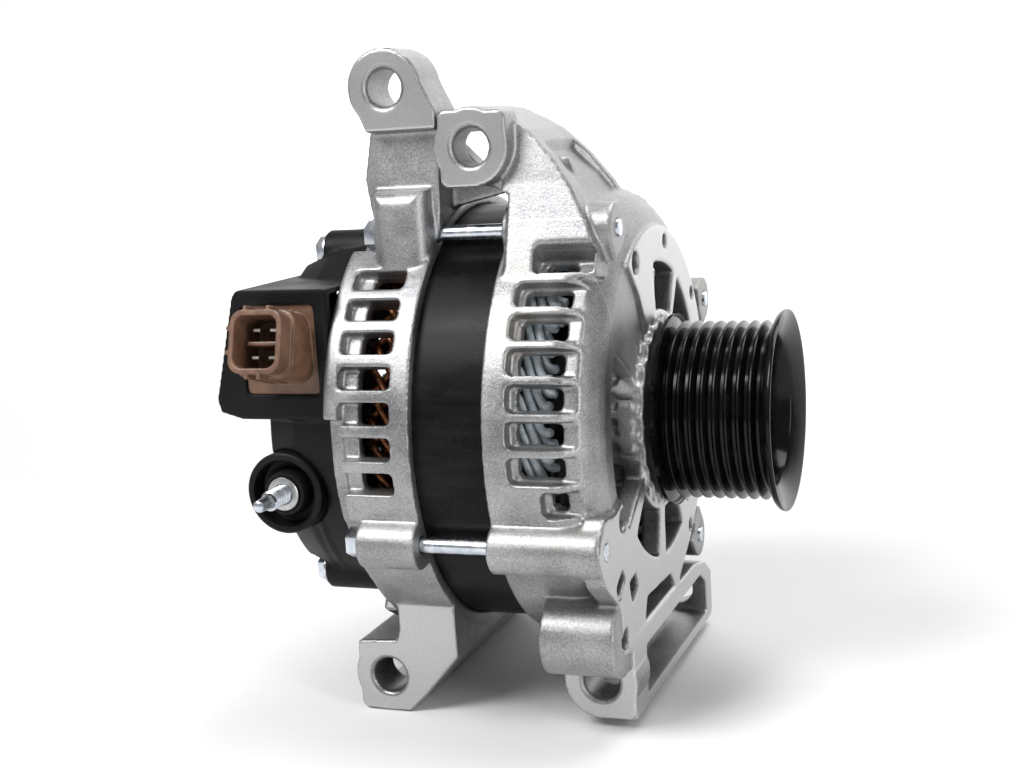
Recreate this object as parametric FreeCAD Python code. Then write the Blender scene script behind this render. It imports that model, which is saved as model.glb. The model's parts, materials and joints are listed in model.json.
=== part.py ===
import FreeCAD, Part
import math
import os

# Car alternator. Millimetres. +X runs along the shaft toward the belt pulley,
# +Y is the direction of the mounting bolts, +Z is up.
# The origin is on the shaft axis at the middle of the belt grooves.
# Angles round the shaft are measured from +Y toward +Z.

os.makedirs("parts", exist_ok=True)

# ---------------- driving dimensions ----------------
RIB_PITCH = 3.56            # belt rib pitch (PK section)
GROOVES = 9                 # grooves in the pulley
CREST_R = 27.5              # radius over the groove crests
GROOVE_DEPTH = 2.6
PULLEY_FRONT_X = 19.1
PULLEY_BACK_X = -17.4
FLANGE_R = 30.9             # front lip of the pulley
BACK_FLANGE_R = 30.0
SHAFT_R = 8.5               # shaft in the front bearing and pulley
REAR_SHAFT_R = 7.5          # shaft in the rear bearing

STATOR_R = 66.0             # outside of the laminations
STATOR_BORE_R = 51.1
STACK_X0 = -82.0
STACK_X1 = -49.0
SLOTS = 48
ROTOR_R = 50.6
POLE_PAIRS = 8
CLAW_FILL = 0.485            # width of a claw against the pitch of the claws of one pole

DRUM_R = 69.5               # outside of both brackets
FRONT_FACE_X = -22.0
FRONT_EDGE_X = -54.5        # front bracket edge over the stator
REAR_EDGE_X = -76.5         # rear bracket edge over the stator
REAR_FACE_X = -104.0
BRACKET_IN_R = 62.5
BOLT_CIRCLE_R = 70.0
BOLT_ANGLES = (22.0, 121.0, 203.4, 310.0)
BOLT_SHANK_R = 2.3
BOLT_HEAD_AF = 8.0
BOLT_SEAT_X = -95.2         # rear faces of the bolt lugs
LUG_R = 7.5

EAR_Y = -45.0               # near faces of the four mounting ears
EAR_BORE_R = 5.5
EAR_R = 11.5
REAR_TOP = (-87.7, 103.3)   # ear centres, X and Z
FRONT_TOP = (-61.8, 85.0)
REAR_LOW = (-100.4, -77.0)
FRONT_LOW = (-31.0, -74.0)
REAR_TOP_LEN = 17.0
FRONT_TOP_LEN = 11.0
LOW_EAR_FAR_Y = 54.0        # far end of both long lower ears

WINDOW_PITCH = 8.5
COVER_R = 60.0
COVER_BACK_X = -134.0
STUD_X = -122.3             # output stud axis
STUD_Z = -14.5
STUD_TIP_Y = -78.0
CONN_X = -119.3             # connector socket centre
CONN_Z = 29.5
CONN_MOUTH_Y = -77.0
CONN_BASE_Y = -60.0         # face of the socket's flange
CONN_TILT = 16.0            # upward tilt of the socket, degrees
CONN_W = 17.0
CONN_H = 18.5
STUD_R = 3.0
STUD_ROOT_R = 3.3            # plain part of the stud inside its collar
COLLAR_R = 5.2
SKIRT_R = 12.6
BRUSH_X = (-112.4, -121.6)
COVER_STUD_R = 57.5
COVER_STUD_ANGLES = (109.0, 232.0, 350.0)


def vec(x, y, z):
    return FreeCAD.Vector(x, y, z)


ORIGIN = vec(0, 0, 0)
AXIS_X = vec(1, 0, 0)


# ---------------- small helpers ----------------
def cyl(r, x0, x1, y=0.0, z=0.0):
    return Part.makeCylinder(r, x1 - x0, vec(x0, y, z), AXIS_X)


def cyl_y(r, y0, y1, x, z):
    return Part.makeCylinder(r, y1 - y0, vec(x, y0, z), vec(0, 1, 0))


def tube(r_out, r_in, x0, x1):
    return cyl(r_out, x0, x1).cut(cyl(r_in, x0 - 1, x1 + 1))


def box(x0, x1, y0, y1, z0, z1):
    return Part.makeBox(x1 - x0, y1 - y0, z1 - z0, vec(x0, y0, z0))


def spin(shape, angle):
    out = shape.copy()
    out.rotate(ORIGIN, AXIS_X, angle)
    return out


def lathe(points):
    """Solid turned about the shaft from (x, radius) points, its seam under a lug."""
    pts = [vec(x, r, 0) for x, r in points]
    face = Part.Face(Part.makePolygon(pts + [pts[0]]))
    return spin(face.revolve(ORIGIN, AXIS_X, 360), BOLT_ANGLES[0])


def plate_xz(points, y0, y1):
    """Flat outline in X and Z pushed along Y."""
    pts = [vec(x, y0, z) for x, z in points]
    face = Part.Face(Part.makePolygon(pts + [pts[0]]))
    return face.extrude(vec(0, y1 - y0, 0))


def plate_yz(points, x0, x1):
    """Flat outline in Y and Z pushed along X."""
    pts = [vec(x0, y, z) for y, z in points]
    face = Part.Face(Part.makePolygon(pts + [pts[0]]))
    return face.extrude(vec(x1 - x0, 0, 0))


def sector(r0, r1, x0, x1, a0, a1):
    """Slice of a ring between two angles."""
    pts = [vec(x0, r0, 0), vec(x0, r1, 0), vec(x1, r1, 0), vec(x1, r0, 0)]
    face = Part.Face(Part.makePolygon(pts + [pts[0]]))
    return spin(face.revolve(ORIGIN, AXIS_X, a1 - a0), a0)


def polar(r, angle):
    a = math.radians(angle)
    return r * math.cos(a), r * math.sin(a)


def hexagon(af, x0, x1, y=0.0, z=0.0):
    r = af / math.sqrt(3.0)
    pts = []
    for i in range(6):
        a = math.radians(60 * i + 30)
        pts.append((y + r * math.cos(a), z + r * math.sin(a)))
    return plate_yz(pts, x0, x1)


def join(shapes):
    out = shapes[0].multiFuse(shapes[1:])
    return out.removeSplitter()


def weld(shapes):
    """Union that keeps the seams between faces, which later cuts need."""
    return shapes[0].multiFuse(shapes[1:])


def cut_all(shape, tools):
    return shape.cut(Part.makeCompound(tools))


def round_edges(shape, radius, wanted):
    """Round the edges picked by wanted(edge), one at a time where one fails."""
    edges = [e for e in shape.Edges if wanted(e)]
    if not edges:
        return shape
    try:
        out = shape.makeFillet(radius, edges)
        if out.isValid() and out.Volume > 0:
            return out
    except Exception:
        pass
    return shape


def along_y(edge):
    if not isinstance(edge.Curve, Part.Line):
        return False
    return abs(edge.Curve.Direction.y) > 0.99


def largest(shape):
    """The body itself, without loose chips left by the cuts."""
    return max(shape.Solids, key=lambda one: one.Volume)


def plan(points, z0, z1):
    """Flat outline in X and Y pushed up along Z."""
    pts = [vec(x, y, z0) for x, y in points]
    face = Part.Face(Part.makePolygon(pts + [pts[0]]))
    return face.extrude(vec(0, 0, z1 - z0))


def save(name, shape):
    solids = shape.Solids
    out = solids[0] if len(solids) == 1 else Part.makeCompound(solids)
    out.exportStep("parts/" + name + ".step")


# ---------------- pulley and shaft ----------------
def pulley():
    half = GROOVES * RIB_PITCH / 2.0
    pts = [(PULLEY_BACK_X, SHAFT_R), (PULLEY_BACK_X, BACK_FLANGE_R - 3.0)]
    pts.append((PULLEY_BACK_X + 0.9, BACK_FLANGE_R - 0.7))
    pts.append((PULLEY_BACK_X + 1.6, BACK_FLANGE_R))
    pts.append((-half - 0.2, BACK_FLANGE_R - 0.2))
    for i in range(GROOVES):
        c = -half + RIB_PITCH * (i + 0.5)
        pts.append((c - RIB_PITCH / 2 + 0.45, CREST_R))
        pts.append((c - 0.45, CREST_R - GROOVE_DEPTH))
        pts.append((c + 0.45, CREST_R - GROOVE_DEPTH))
        pts.append((c + RIB_PITCH / 2 - 0.45, CREST_R))
    pts.append((half + 0.3, FLANGE_R - 2.6))
    pts.append((half + 1.0, FLANGE_R - 1.0))
    pts.append((PULLEY_FRONT_X - 0.7, FLANGE_R))
    pts.append((PULLEY_FRONT_X, FLANGE_R - 0.2))
    pts.append((PULLEY_FRONT_X - 0.3, FLANGE_R - 1.2))
    pts.append((half - 0.6, CREST_R - 4.6))
    pts.append((-3.0, CREST_R - 5.6))
    pts.append((-6.0, CREST_R - 8.5))
    pts.append((-6.0, 14.5))
    pts.append((-3.5, 13.5))
    pts.append((-3.5, SHAFT_R))
    return lathe(pts)


def rotor_shaft():
    pts = [(-128.0, 0.0), (-128.0, 5.0), (-106.0, 5.0), (-106.0, REAR_SHAFT_R)]
    pts += [(-90.0, REAR_SHAFT_R), (-90.0, 9.0), (-84.0, 9.0), (-84.0, 9.6)]
    pts += [(-46.0, 9.6), (-46.0, 10.5), (-34.4, 10.5), (-34.4, SHAFT_R)]
    pts += [(-3.5, SHAFT_R), (-3.5, 7.0), (9.0, 7.0), (10.0, 6.0), (10.0, 0.0)]
    return lathe(pts)


def spacer_collar():
    return tube(12.0, SHAFT_R, -20.4, PULLEY_BACK_X)


def pulley_nut():
    nut = hexagon(22.0, -3.5, 7.0).cut(cyl(7.0, -5, 8))
    washer = tube(13.2, 7.0, -3.5, -2.0)
    return join([nut, washer])


# ---------------- rotor ----------------
def claw(x_root, x_tip):
    """One tapered claw lying on the rotor rim, standing at angle zero."""
    lo, hi = min(x_root, x_tip), max(x_root, x_tip)
    wide = 0.5 * ROTOR_R * math.radians(360.0 / POLE_PAIRS) * CLAW_FILL
    slim = wide * 0.42
    pts = [vec(x_root, 30, -wide), vec(x_root, 30, wide)]
    pts += [vec(x_tip, 30, slim), vec(x_tip, 30, -slim)]
    face = Part.Face(Part.makePolygon(pts + [pts[0]]))
    body = face.extrude(vec(0, 25, 0))
    tip_r = ROTOR_R - 3.5
    root_r = ROTOR_R - 12.5
    inner = lathe([(x_root, 0.0), (x_root, root_r), (x_tip, tip_r), (x_tip, 0.0)])
    return body.common(cyl(ROTOR_R, lo, hi)).cut(inner)


def claw_pole(x_back, x_front, x_tip):
    """Pole disc between two planes, with claws reaching to x_tip."""
    lo, hi = min(x_back, x_front), max(x_back, x_front)
    parts = [tube(ROTOR_R - 12.0, 9.6, lo, hi)]
    wide = 0.5 * ROTOR_R * math.radians(360.0 / POLE_PAIRS) * CLAW_FILL
    for i in range(POLE_PAIRS):
        a = 360.0 / POLE_PAIRS * i
        arm = box(lo, hi, 30, ROTOR_R + 2, -wide, wide).common(cyl(ROTOR_R, lo, hi))
        parts.append(spin(arm, a))
        parts.append(spin(claw(x_front, x_tip), a))
    return join(parts)


def front_claw_pole():
    return claw_pole(-46.0, -57.0, -82.5)


def rear_claw_pole():
    return spin(claw_pole(-84.0, -73.0, -47.5), 180.0 / POLE_PAIRS)


def field_bobbin():
    barrel = tube(17.0, 9.6, -73.0, -57.0)
    return join([barrel, tube(35.0, 9.6, -73.0, -71.6), tube(35.0, 9.6, -58.4, -57.0)])


def field_coil():
    return tube(34.0, 17.0, -71.6, -58.4)


def fan(x_base, x_tip, r_hub, count, lean, phase):
    """Stamped centrifugal fan: thin disc with curved blades standing off it."""
    lo, hi = min(x_base, x_tip), max(x_base, x_tip)
    step = 1.5 if x_tip > x_base else -1.5
    disc = tube(36.0, r_hub, min(x_base, x_base + step), max(x_base, x_base + step))
    parts = [disc]
    for i in range(count):
        blade = box(lo, hi, 27.0, 46.0, -0.6, 0.6)
        foot = box(min(x_base, x_base + step), max(x_base, x_base + step), 30, 45.5, -4.0, 4.0)
        both = blade.fuse(foot)
        both.rotate(vec(0, 31.0, 0), AXIS_X, lean)
        parts.append(spin(both, phase + 360.0 / count * i + (3.0 if i % 2 else -3.0)))
    return join(parts)


def front_fan():
    return fan(-46.0, -38.0, 10.5, 12, 22.0, 0.0)


def rear_fan():
    return fan(-84.0, -91.5, 9.0, 11, -22.0, 8.0)


def slip_sleeve():
    ends = [tube(6.8, 5.0, -127.0, -107.0)]
    ends.append(tube(8.6, 5.0, -117.8, -116.2))
    ends.append(tube(8.6, 5.0, -108.6, -107.0))
    ends.append(tube(8.6, 5.0, -127.0, -125.4))
    return join(ends)


def slip_rings():
    return Part.makeCompound([tube(8.2, 6.8, -125.4, -117.8), tube(8.2, 6.8, -116.2, -108.6)])


# ---------------- bearings ----------------
def race(r_out, r_in, x0, x1):
    return tube(r_out, r_in, x0, x1)


def balls(r_pitch, r_ball, x, count):
    out = []
    for i in range(count):
        y, z = polar(r_pitch, 360.0 / count * i)
        out.append(Part.makeSphere(r_ball, vec(x, y, z)))
    return Part.makeCompound(out)


def cage(r_pitch, r_ball, x, count):
    """Ring with a pocket round each ball."""
    ring = tube(r_pitch + 1.1, r_pitch - 1.1, x - r_ball - 0.8, x + r_ball + 0.8)
    ring = spin(ring, 180.0 / count)
    pockets = []
    for i in range(count):
        pocket = Part.makeCylinder(r_ball + 0.2, 4.0, vec(x, r_pitch - 2.0, 0), vec(0, 1, 0))
        pockets.append(spin(pocket, 360.0 / count * i))
    return cut_all(ring, pockets)


def seals(r_out, r_in, x0, x1):
    return Part.makeCompound([tube(r_out, r_in, x0, x0 + 1.0), tube(r_out, r_in, x1 - 1.0, x1)])


# ---------------- stator ----------------
def stator_core():
    ring = tube(STATOR_R, STATOR_BORE_R, STACK_X0, STACK_X1)
    slots = []
    for i in range(SLOTS):
        slot = box(STACK_X0 - 1, STACK_X1 + 1, STATOR_BORE_R + 1.4, 60.6, -1.5, 1.5)
        mouth = box(STACK_X0 - 1, STACK_X1 + 1, STATOR_BORE_R - 2, STATOR_BORE_R + 2, -0.8, 0.8)
        slots.append(spin(slot.fuse(mouth), 360.0 / SLOTS * i))
    return cut_all(ring, slots)


def slanted_bar(x0, x1, angle, radius, width, depth):
    """Bar on the winding head from angle zero at x0 to the given angle at x1."""
    run = 2.0 * radius * math.sin(math.radians(abs(angle)) / 2.0)
    rise = abs(x1 - x0)
    length = math.hypot(run, rise)
    bar = box(-length / 2, length / 2, -depth / 2, depth / 2, -width / 2, width / 2)
    tilt = math.degrees(math.atan2(run, rise))
    side = 1.0 if (angle > 0) == (x1 > x0) else -1.0
    bar.rotate(ORIGIN, vec(0, 1, 0), -side * tilt)
    bar.translate(vec((x0 + x1) / 2.0, radius * math.cos(math.radians(angle / 2.0)), 0))
    return spin(bar, angle / 2.0)


def winding_piece():
    """One slot bundle with its bent ends at the front and the back."""
    turn = 1.5 * 360.0 / SLOTS
    front = STACK_X1
    back = STACK_X0
    parts = [box(back - 2.5, front + 2.5, 52.9, 60.2, -1.3, 1.3)]
    parts.append(slanted_bar(front + 1.8, front + 10.5, turn, 58.6, 2.6, 3.0))
    parts.append(slanted_bar(front + 1.8, front + 10.5, -turn, 54.6, 2.6, 3.0))
    tip = box(front + 9.3, front + 12.2, 53.2, 60.1, -1.4, 1.4)
    parts.append(spin(tip, turn))
    parts.append(slanted_bar(back - 1.8, back - 9.0, -turn, 58.6, 2.4, 2.6))
    parts.append(slanted_bar(back - 1.8, back - 9.0, turn, 54.6, 2.4, 2.6))
    tip = box(back - 10.6, back - 8.0, 53.4, 59.9, -1.0, 1.0)
    parts.append(spin(tip, -turn))
    return join(parts)


def stator_winding():
    piece = winding_piece()
    return Part.makeCompound([spin(piece, 360.0 / SLOTS * i) for i in range(SLOTS)])


# ---------------- front bracket ----------------
def front_shell():
    x0, x1 = FRONT_EDGE_X, FRONT_FACE_X
    pts = [(x0, STATOR_R), (x0, DRUM_R), (x1 - 12.0, DRUM_R), (x1 - 9.0, DRUM_R - 0.8)]
    pts += [(x1 - 6.0, DRUM_R - 2.8), (x1 - 3.0, DRUM_R - 6.5), (x1 - 1.0, DRUM_R - 10.0)]
    pts += [(x1, DRUM_R - 13.0), (x1, 29.0), (x1 - 5.0, 29.0), (x1 - 5.0, BRACKET_IN_R - 6.0)]
    pts += [(x1 - 8.0, BRACKET_IN_R), (STACK_X1, BRACKET_IN_R), (STACK_X1, STATOR_R)]
    return lathe(pts)


def front_plateaus():
    """Raised flat face carrying the bolt ends, above and below the near inlet."""
    x0, x1 = FRONT_FACE_X - 5.0, FRONT_FACE_X + 1.3
    top = [(-31, 70), (-31, 55), (-30, 48), (-20, 38), (-9.6, 20), (0, 24), (24, 8), (62, 8), (62, 70)]
    top = plate_yz(top, x0, x1).common(cyl(DRUM_R - 12.0, x0, x1))
    low = [(-14, -9), (-28, -12), (-55, -19), (-65, -18), (-72, -27), (-66, -38), (-53, -48)]
    low += [(-52, -62), (-34, -66), (10, -61), (30, -50), (45, -38), (56, -14), (57, -8), (24, -8)]
    low += [(0, -24)]
    return [top, plate_yz(low, x0, x1)]


def hub_flutes():
    tools = []
    for i in range(24):
        y, z = polar(31.8, 15.0 * i)
        tools.append(cyl(4.0, FRONT_FACE_X - 11.5, -15.0, y, z))
    return tools


def front_hub():
    hub = lathe([(-34.4, 17.0), (-34.4, 29.8), (-20.4, 29.8), (-18.9, 28.4), (-18.9, 17.0)])
    screws = [spin(cyl(2.0, -35.0, -27.0, 26.6, 0.0), 90.0 * i + 45.0) for i in range(4)]
    return cut_all(hub, hub_flutes() + screws + [cyl(23.5, -36.0, -20.4)])


def inlet_cuts():
    """Air inlets round the hub, with spokes left between them."""
    tools = []
    x0, x1 = FRONT_FACE_X - 6.0, FRONT_FACE_X + 6.0
    for a, half in ((78, 15), (42, 14), (8, 13), (240, 17), (281, 14), (320, 14)):
        tools.append(sector(31.4, 46.0, x0, x1, a - half, a + half))
    tools.append(sector(29.2, 50.0, x0 - 8.0, x1, 150, 213))
    return tools


def rounded_slot(x0, x1, half, r0, r1):
    """Window tool with rounded corners, standing across the drum at angle zero."""
    body = box(x0, x1, r0, r1, -half, half)
    return round_edges(body, half * 0.45, along_y)


def front_window(x0, x1):
    wide = rounded_slot(x0, x1, 3.9, BRACKET_IN_R + 3.0, DRUM_R + 6.0)
    deep = rounded_slot(x0 + 2.2, x1 - 6.5, 3.0, BRACKET_IN_R - 6.0, DRUM_R + 6.0)
    return wide.fuse(deep)


def front_windows():
    tools = []
    left, right = -47.2, -25.0
    for i in range(8):
        x0 = left + (4.0 if i == 7 else 0.0) + (9.0 if i == 0 else 0.0)
        tools.append(spin(front_window(x0, right), 192.0 - WINDOW_PITCH * i))
    for start in (36.0, 323.0):
        for i in range(6):
            tools.append(spin(front_window(left, right), start + WINDOW_PITCH * i))
    return tools


def lugs(x0, x1):
    out = []
    for a in BOLT_ANGLES:
        y, z = polar(BOLT_CIRCLE_R, a)
        out.append(cyl(LUG_R, x0, x1, y, z))
        cheek = box(x0, x1, DRUM_R - 6.0, BOLT_CIRCLE_R, -LUG_R, LUG_R)
        out.append(spin(cheek, a))
    return out


def top_arm():
    """Hollow arm that carries the front upper ear out over the stator."""
    cx, cz = FRONT_TOP
    outline = [(cx - 9.6, cz + 9.5), (cx, cz + 11.4), (cx + 4.7, cz + 10.4), (-51.0, 92.0)]
    outline += [(-46.4, 88.8), (-39.3, 81.3), (-33.1, 72.4), (-27.1, 61.2), (-24.9, 55.0)]
    outline += [(-24.0, 46.0), (-52.0, 46.0), (-52.0, 71.0), (cx - 9.6, cz - 8.0)]
    depth = plan([(-80.0, EAR_Y), (-80.0, -15.0), (-55.0, -8.5), (-20.0, 9.0), (-20.0, EAR_Y)], 40, 110)
    solid = plate_xz(outline, EAR_Y + 7.0, 20.0).common(depth)
    outer = [(-43.0, 110), (-43.0, 82.0), (-36.0, 74.0), (-29.5, 64.0), (-29.5, 50.0), (-10, 50)]
    outer += [(-10, 110)]
    room = plan([(-45.0, -34.0), (-45.0, -8.5), (-20.0, 4.5), (-5.0, 4.5), (-5.0, -34.0)], 40, 115)
    pocket = plate_xz(outer, EAR_Y + 11.0, 20.0).common(room)
    under = plate_xz([(-90, 60), (-54.0, 60), (-54.0, 87.5), (-90, 91.5)], EAR_Y + 12.0, 2.0)
    rib = plate_xz([(-45, 82), (-39.0, 80), (-35.5, 72), (-45, 72)], -26.0, -22.0)
    slope = plate_yz([(-34, 88), (-38, 88), (-41.5, 74), (-45.5, 62), (-50.8, 47.5), (-40, 46), (-34, 60)],
                     -54.0, -20.0)
    skin = slope.common(plate_xz(outline, -52.0, -25.0))
    return join([solid.cut(pocket).cut(under), rib, skin])


def ear_pad(centre, y0, y1, box_xz):
    """Pad round an ear bore, squared out to the given X and Z limits."""
    cx, cz = centre
    parts = [cyl_y(EAR_R, y0, y1, cx, cz)]
    if box_xz:
        x0, x1, z0, z1 = box_xz
        pad = box(cx + x0, cx + x1, y0, y1, cz + z0, cz + z1)
        parts.append(round_edges(pad, 2.6, along_y))
    return parts


def low_box():
    """Long lower ear of the front bracket: a frame open toward the pulley."""
    x0, x1 = -43.0, FRONT_FACE_X + 1.6
    outline = [(x0, -60.5), (x1, -60.5), (x1, -85.4), (-31.0, -85.5), (-39.0, -82.5), (x0, -74.0)]
    far = LOW_EAR_FAR_Y
    side = [(EAR_Y + 1.0, -60.5), (far - 22.0, -60.5), (far - 8.0, -63.5), (far, -69.0)]
    side += [(far, -83.0), (far - 2.0, -85.5), (EAR_Y + 1.0, -85.5)]
    return plate_xz(outline, EAR_Y + 1.0, far).common(plate_yz(side, -60.0, 0.0))


def low_box_cuts():
    far = LOW_EAR_FAR_Y
    room = plate_xz([(-38.5, -66.5), (-10, -66.5), (-10, -81.8), (-31.0, -81.8), (-38.5, -77.0)],
                    EAR_Y + 14.0, far - 7.5)
    side = [(EAR_Y + 14.0, -66.5), (far - 15.0, -66.5), (far - 7.5, -71.0), (far - 7.5, -82.0)]
    side += [(EAR_Y + 14.0, -82.0)]
    return [room.common(plate_yz(side, -60.0, 0.0))]


def front_bore_cuts():
    wall = EAR_Y + FRONT_TOP_LEN
    tools = [cyl_y(EAR_BORE_R, EAR_Y - 1, wall + 1.0, *FRONT_TOP)]
    tools.append(cyl_y(EAR_BORE_R + 1.2, wall + 1.0, EAR_Y + 40.0, *FRONT_TOP))
    tools.append(cyl_y(EAR_BORE_R + 0.5, EAR_Y - 30.0, EAR_Y, *FRONT_LOW))
    tools.append(cyl_y(EAR_BORE_R, EAR_Y - 1, LOW_EAR_FAR_Y + 1, *FRONT_LOW))
    for x, z in (FRONT_TOP, FRONT_LOW):
        tools.append(Part.makeCone(EAR_BORE_R + 0.9, EAR_BORE_R, 0.9, vec(x, EAR_Y, z), vec(0, 1, 0)))
    return tools


def small_front_holes():
    x0, x1 = FRONT_FACE_X - 8.0, FRONT_FACE_X + 3.0
    tools = [cyl(3.4, x0, x1, -22.0, 48.2), cyl(3.4, x0, x1, -47.7, -23.1)]
    for y, z in ((12.0, 51.5), (44.0, 31.0), (30.0, -46.0), (51.0, 0.0)):
        tools.append(cyl(2.2, x0, x1, y, z))
    tools.append(cyl(3.0, -42.0, -15.0, -50.0, -58.0))
    tools.append(plate_yz([(-57, -40.5), (-50, -37), (-47.5, -40.5), (-54.5, -45.5)], x0, x1))
    tools.append(plate_yz([(-44, -43), (-37, -42), (-34.5, -46.5), (-42, -49.5)], x0, x1))
    tools.append(plate_yz([(-29, -59.5), (-26, -53), (2, -54.5), (7, -59.5)], x0, x1))
    for a in BOLT_ANGLES:
        y, z = polar(BOLT_CIRCLE_R, a)
        tools.append(cyl(2.5, FRONT_FACE_X - 14.0, -10.0, y, z))
        tools.append(cyl(2.8, FRONT_EDGE_X - 1.0, FRONT_FACE_X - 13.0, y, z))
    return tools


def front_bracket():
    add = [front_shell()] + front_plateaus() + lugs(FRONT_EDGE_X, FRONT_FACE_X + 0.5)
    add.append(cyl(11.8, -44.0, FRONT_FACE_X + 0.8, -50.0, -57.5))
    add.append(box(-44.0, FRONT_FACE_X, -50.0, -38.0, -69.0, -40.0))
    add.append(low_box())
    add += ear_pad(FRONT_LOW, EAR_Y, EAR_Y + 16.0, (0.0, 10.6, -11.3, 4.0))
    add.append(top_arm())
    add += ear_pad(FRONT_TOP, EAR_Y, EAR_Y + FRONT_TOP_LEN, (-9.8, 1.0, -11.5, 10.8))
    add += ear_pad(FRONT_TOP, EAR_Y, EAR_Y + FRONT_TOP_LEN, (-2.0, 11.2, -4.0, 10.2))
    body = weld(add)
    inside = lathe([(FRONT_EDGE_X - 9.0, 0.0), (FRONT_EDGE_X - 9.0, STATOR_R)]
                   + [(STACK_X1, STATOR_R), (STACK_X1, BRACKET_IN_R)]
                   + [(FRONT_FACE_X - 8.0, BRACKET_IN_R), (FRONT_FACE_X - 5.0, BRACKET_IN_R - 6.0)]
                   + [(FRONT_FACE_X - 5.0, 0.0)])
    centre = cyl(29.0, FRONT_FACE_X - 6.0, FRONT_FACE_X + 4.0)
    body = cut_all(body, [inside, centre])
    body = weld([body, front_hub()])
    tools = inlet_cuts() + front_windows() + low_box_cuts() + small_front_holes()
    return largest(cut_all(body, tools + front_bore_cuts()))


# ---------------- rear bracket ----------------
def rear_shell():
    """Drum, back plate and the seat of the rear bearing."""
    x0, x1 = REAR_FACE_X, REAR_EDGE_X
    pts = [(x1, STATOR_R), (x1, DRUM_R), (x0 + 1.2, DRUM_R), (x0, DRUM_R - 1.0), (x0, 22.0)]
    pts += [(x0 - 1.5, 22.0), (x0 - 1.5, 11.0), (x0 + 1.0, 11.0), (x0 + 1.0, 17.5), (x0 + 12.0, 17.5)]
    pts += [(x0 + 12.0, 22.0), (x0 + 5.0, 22.0), (x0 + 5.0, BRACKET_IN_R)]
    pts += [(STACK_X0, BRACKET_IN_R), (STACK_X0, STATOR_R)]
    return lathe(pts)


def rear_inlets():
    tools = []
    for i in range(10):
        a = 36.0 * i
        tools.append(sector(25.0, 46.0, REAR_FACE_X - 2.0, REAR_FACE_X + 7.0, a - 13, a + 13))
    return tools


def rear_window():
    deep = rounded_slot(-94.0, -82.6, 3.3, BRACKET_IN_R - 6.0, DRUM_R + 6.0)
    step = box(REAR_FACE_X + 5.0, -92.0, BRACKET_IN_R + 3.2, DRUM_R + 6.0, -3.3, 3.3)
    return deep.fuse(step)


def rear_windows():
    tools = []
    for start, count in ((136.0, 7), (36.4, 6), (325.3, 6)):
        for i in range(count):
            tools.append(spin(rear_window(), start + 8.6 * i))
    return tools


def top_column():
    """Column from the rear bracket drum up to the rear upper ear."""
    cx, cz = REAR_TOP
    y0 = EAR_Y
    y1 = EAR_Y + REAR_TOP_LEN
    head = plate_xz([(cx - 6.5, 90.6), (cx + 15.6, 90.6), (cx + 15.6, 96.0), (cx + 8.0, 112.0)]
                    + [(cx, cz), (cx - 10.5, cz - 3.0)], y0, y1)
    neck = plate_xz([(-98.0, 77.0), (-95.0, 92.0), (-73.0, 92.0), (-74.5, 66.0), (-77.0, 44.0)]
                    + [(-96.0, 44.0), (-96.5, 66.0)], y0 + 5.0, y0 + 26.0)
    rib = box(-94.0, -76.8, y0 - 2.4, y0 + 14.0, 40.0, 73.5)
    rib = rib.makeFillet(5.0, [e for e in rib.Edges if e.BoundBox.YMax < y0 - 2.0 and e.BoundBox.ZMax > 41.0])
    return [head, neck, rib]


def top_web():
    """Web of the rear bracket reaching forward over the stator."""
    pts = [(-80.0, 66.0), (-57.0, 71.0), (-57.0, 75.5), (-66.0, 80.0), (-74.0, 88.0), (-80.0, 88.0)]
    return plate_xz(pts, -30.0, -22.0)


def low_arm():
    """Long lower ear of the rear bracket, closed toward the stator."""
    outline = [(-110.4, -66.0), (-97.0, -65.2), (-96.0, -62.0), (-96.0, -44.0), (-77.0, -44.0)]
    outline += [(-76.6, -69.5), (-89.0, -83.5), (-94.0, -88.2), (-104.0, -88.6), (-109.6, -86.0)]
    return plate_xz(outline, EAR_Y, LOW_EAR_FAR_Y)


def low_arm_cuts():
    room = plate_xz([(-120.0, -68.5), (-95.5, -68.5), (-93.0, -66.0), (-82.0, -66.0)]
                    + [(-81.0, -69.5), (-91.5, -81.5), (-96.0, -84.6), (-120.0, -84.6)],
                    EAR_Y + 15.0, LOW_EAR_FAR_Y - 13.0)
    return [room]


def rear_lugs():
    return lugs(BOLT_SEAT_X, REAR_EDGE_X)


def rear_bore_cuts():
    tools = [cyl_y(EAR_BORE_R, EAR_Y - 1, EAR_Y + 30.0, *REAR_TOP)]
    tools.append(cyl_y(EAR_BORE_R, EAR_Y - 1, LOW_EAR_FAR_Y + 1, *REAR_LOW))
    for x, z in (REAR_TOP, REAR_LOW):
        tools.append(Part.makeCone(EAR_BORE_R + 0.9, EAR_BORE_R, 0.9, vec(x, EAR_Y, z), vec(0, 1, 0)))
    return tools


def bolt_clearance():
    tools = []
    for a in BOLT_ANGLES:
        y, z = polar(BOLT_CIRCLE_R, a)
        tools.append(cyl(2.8, -98.5, -70.0, y, z))
        tools.append(cyl(6.4, -112.0, BOLT_SEAT_X, y, z))
    tools.append(sector(DRUM_R - 5.0, DRUM_R + 6.0, -106.0, REAR_FACE_X + 5.0, 172.0, 236.0))
    x0, x1 = REAR_FACE_X - 2.0, REAR_FACE_X + 6.0
    tools += at_angles(lambda y, z: cyl(2.0, x0, x1, y, z), POST_R, POST_ANGLES)
    tools += at_angles(lambda y, z: cyl(2.5, x0, x1, y, z), COVER_STUD_R, COVER_STUD_ANGLES)
    return tools


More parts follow.
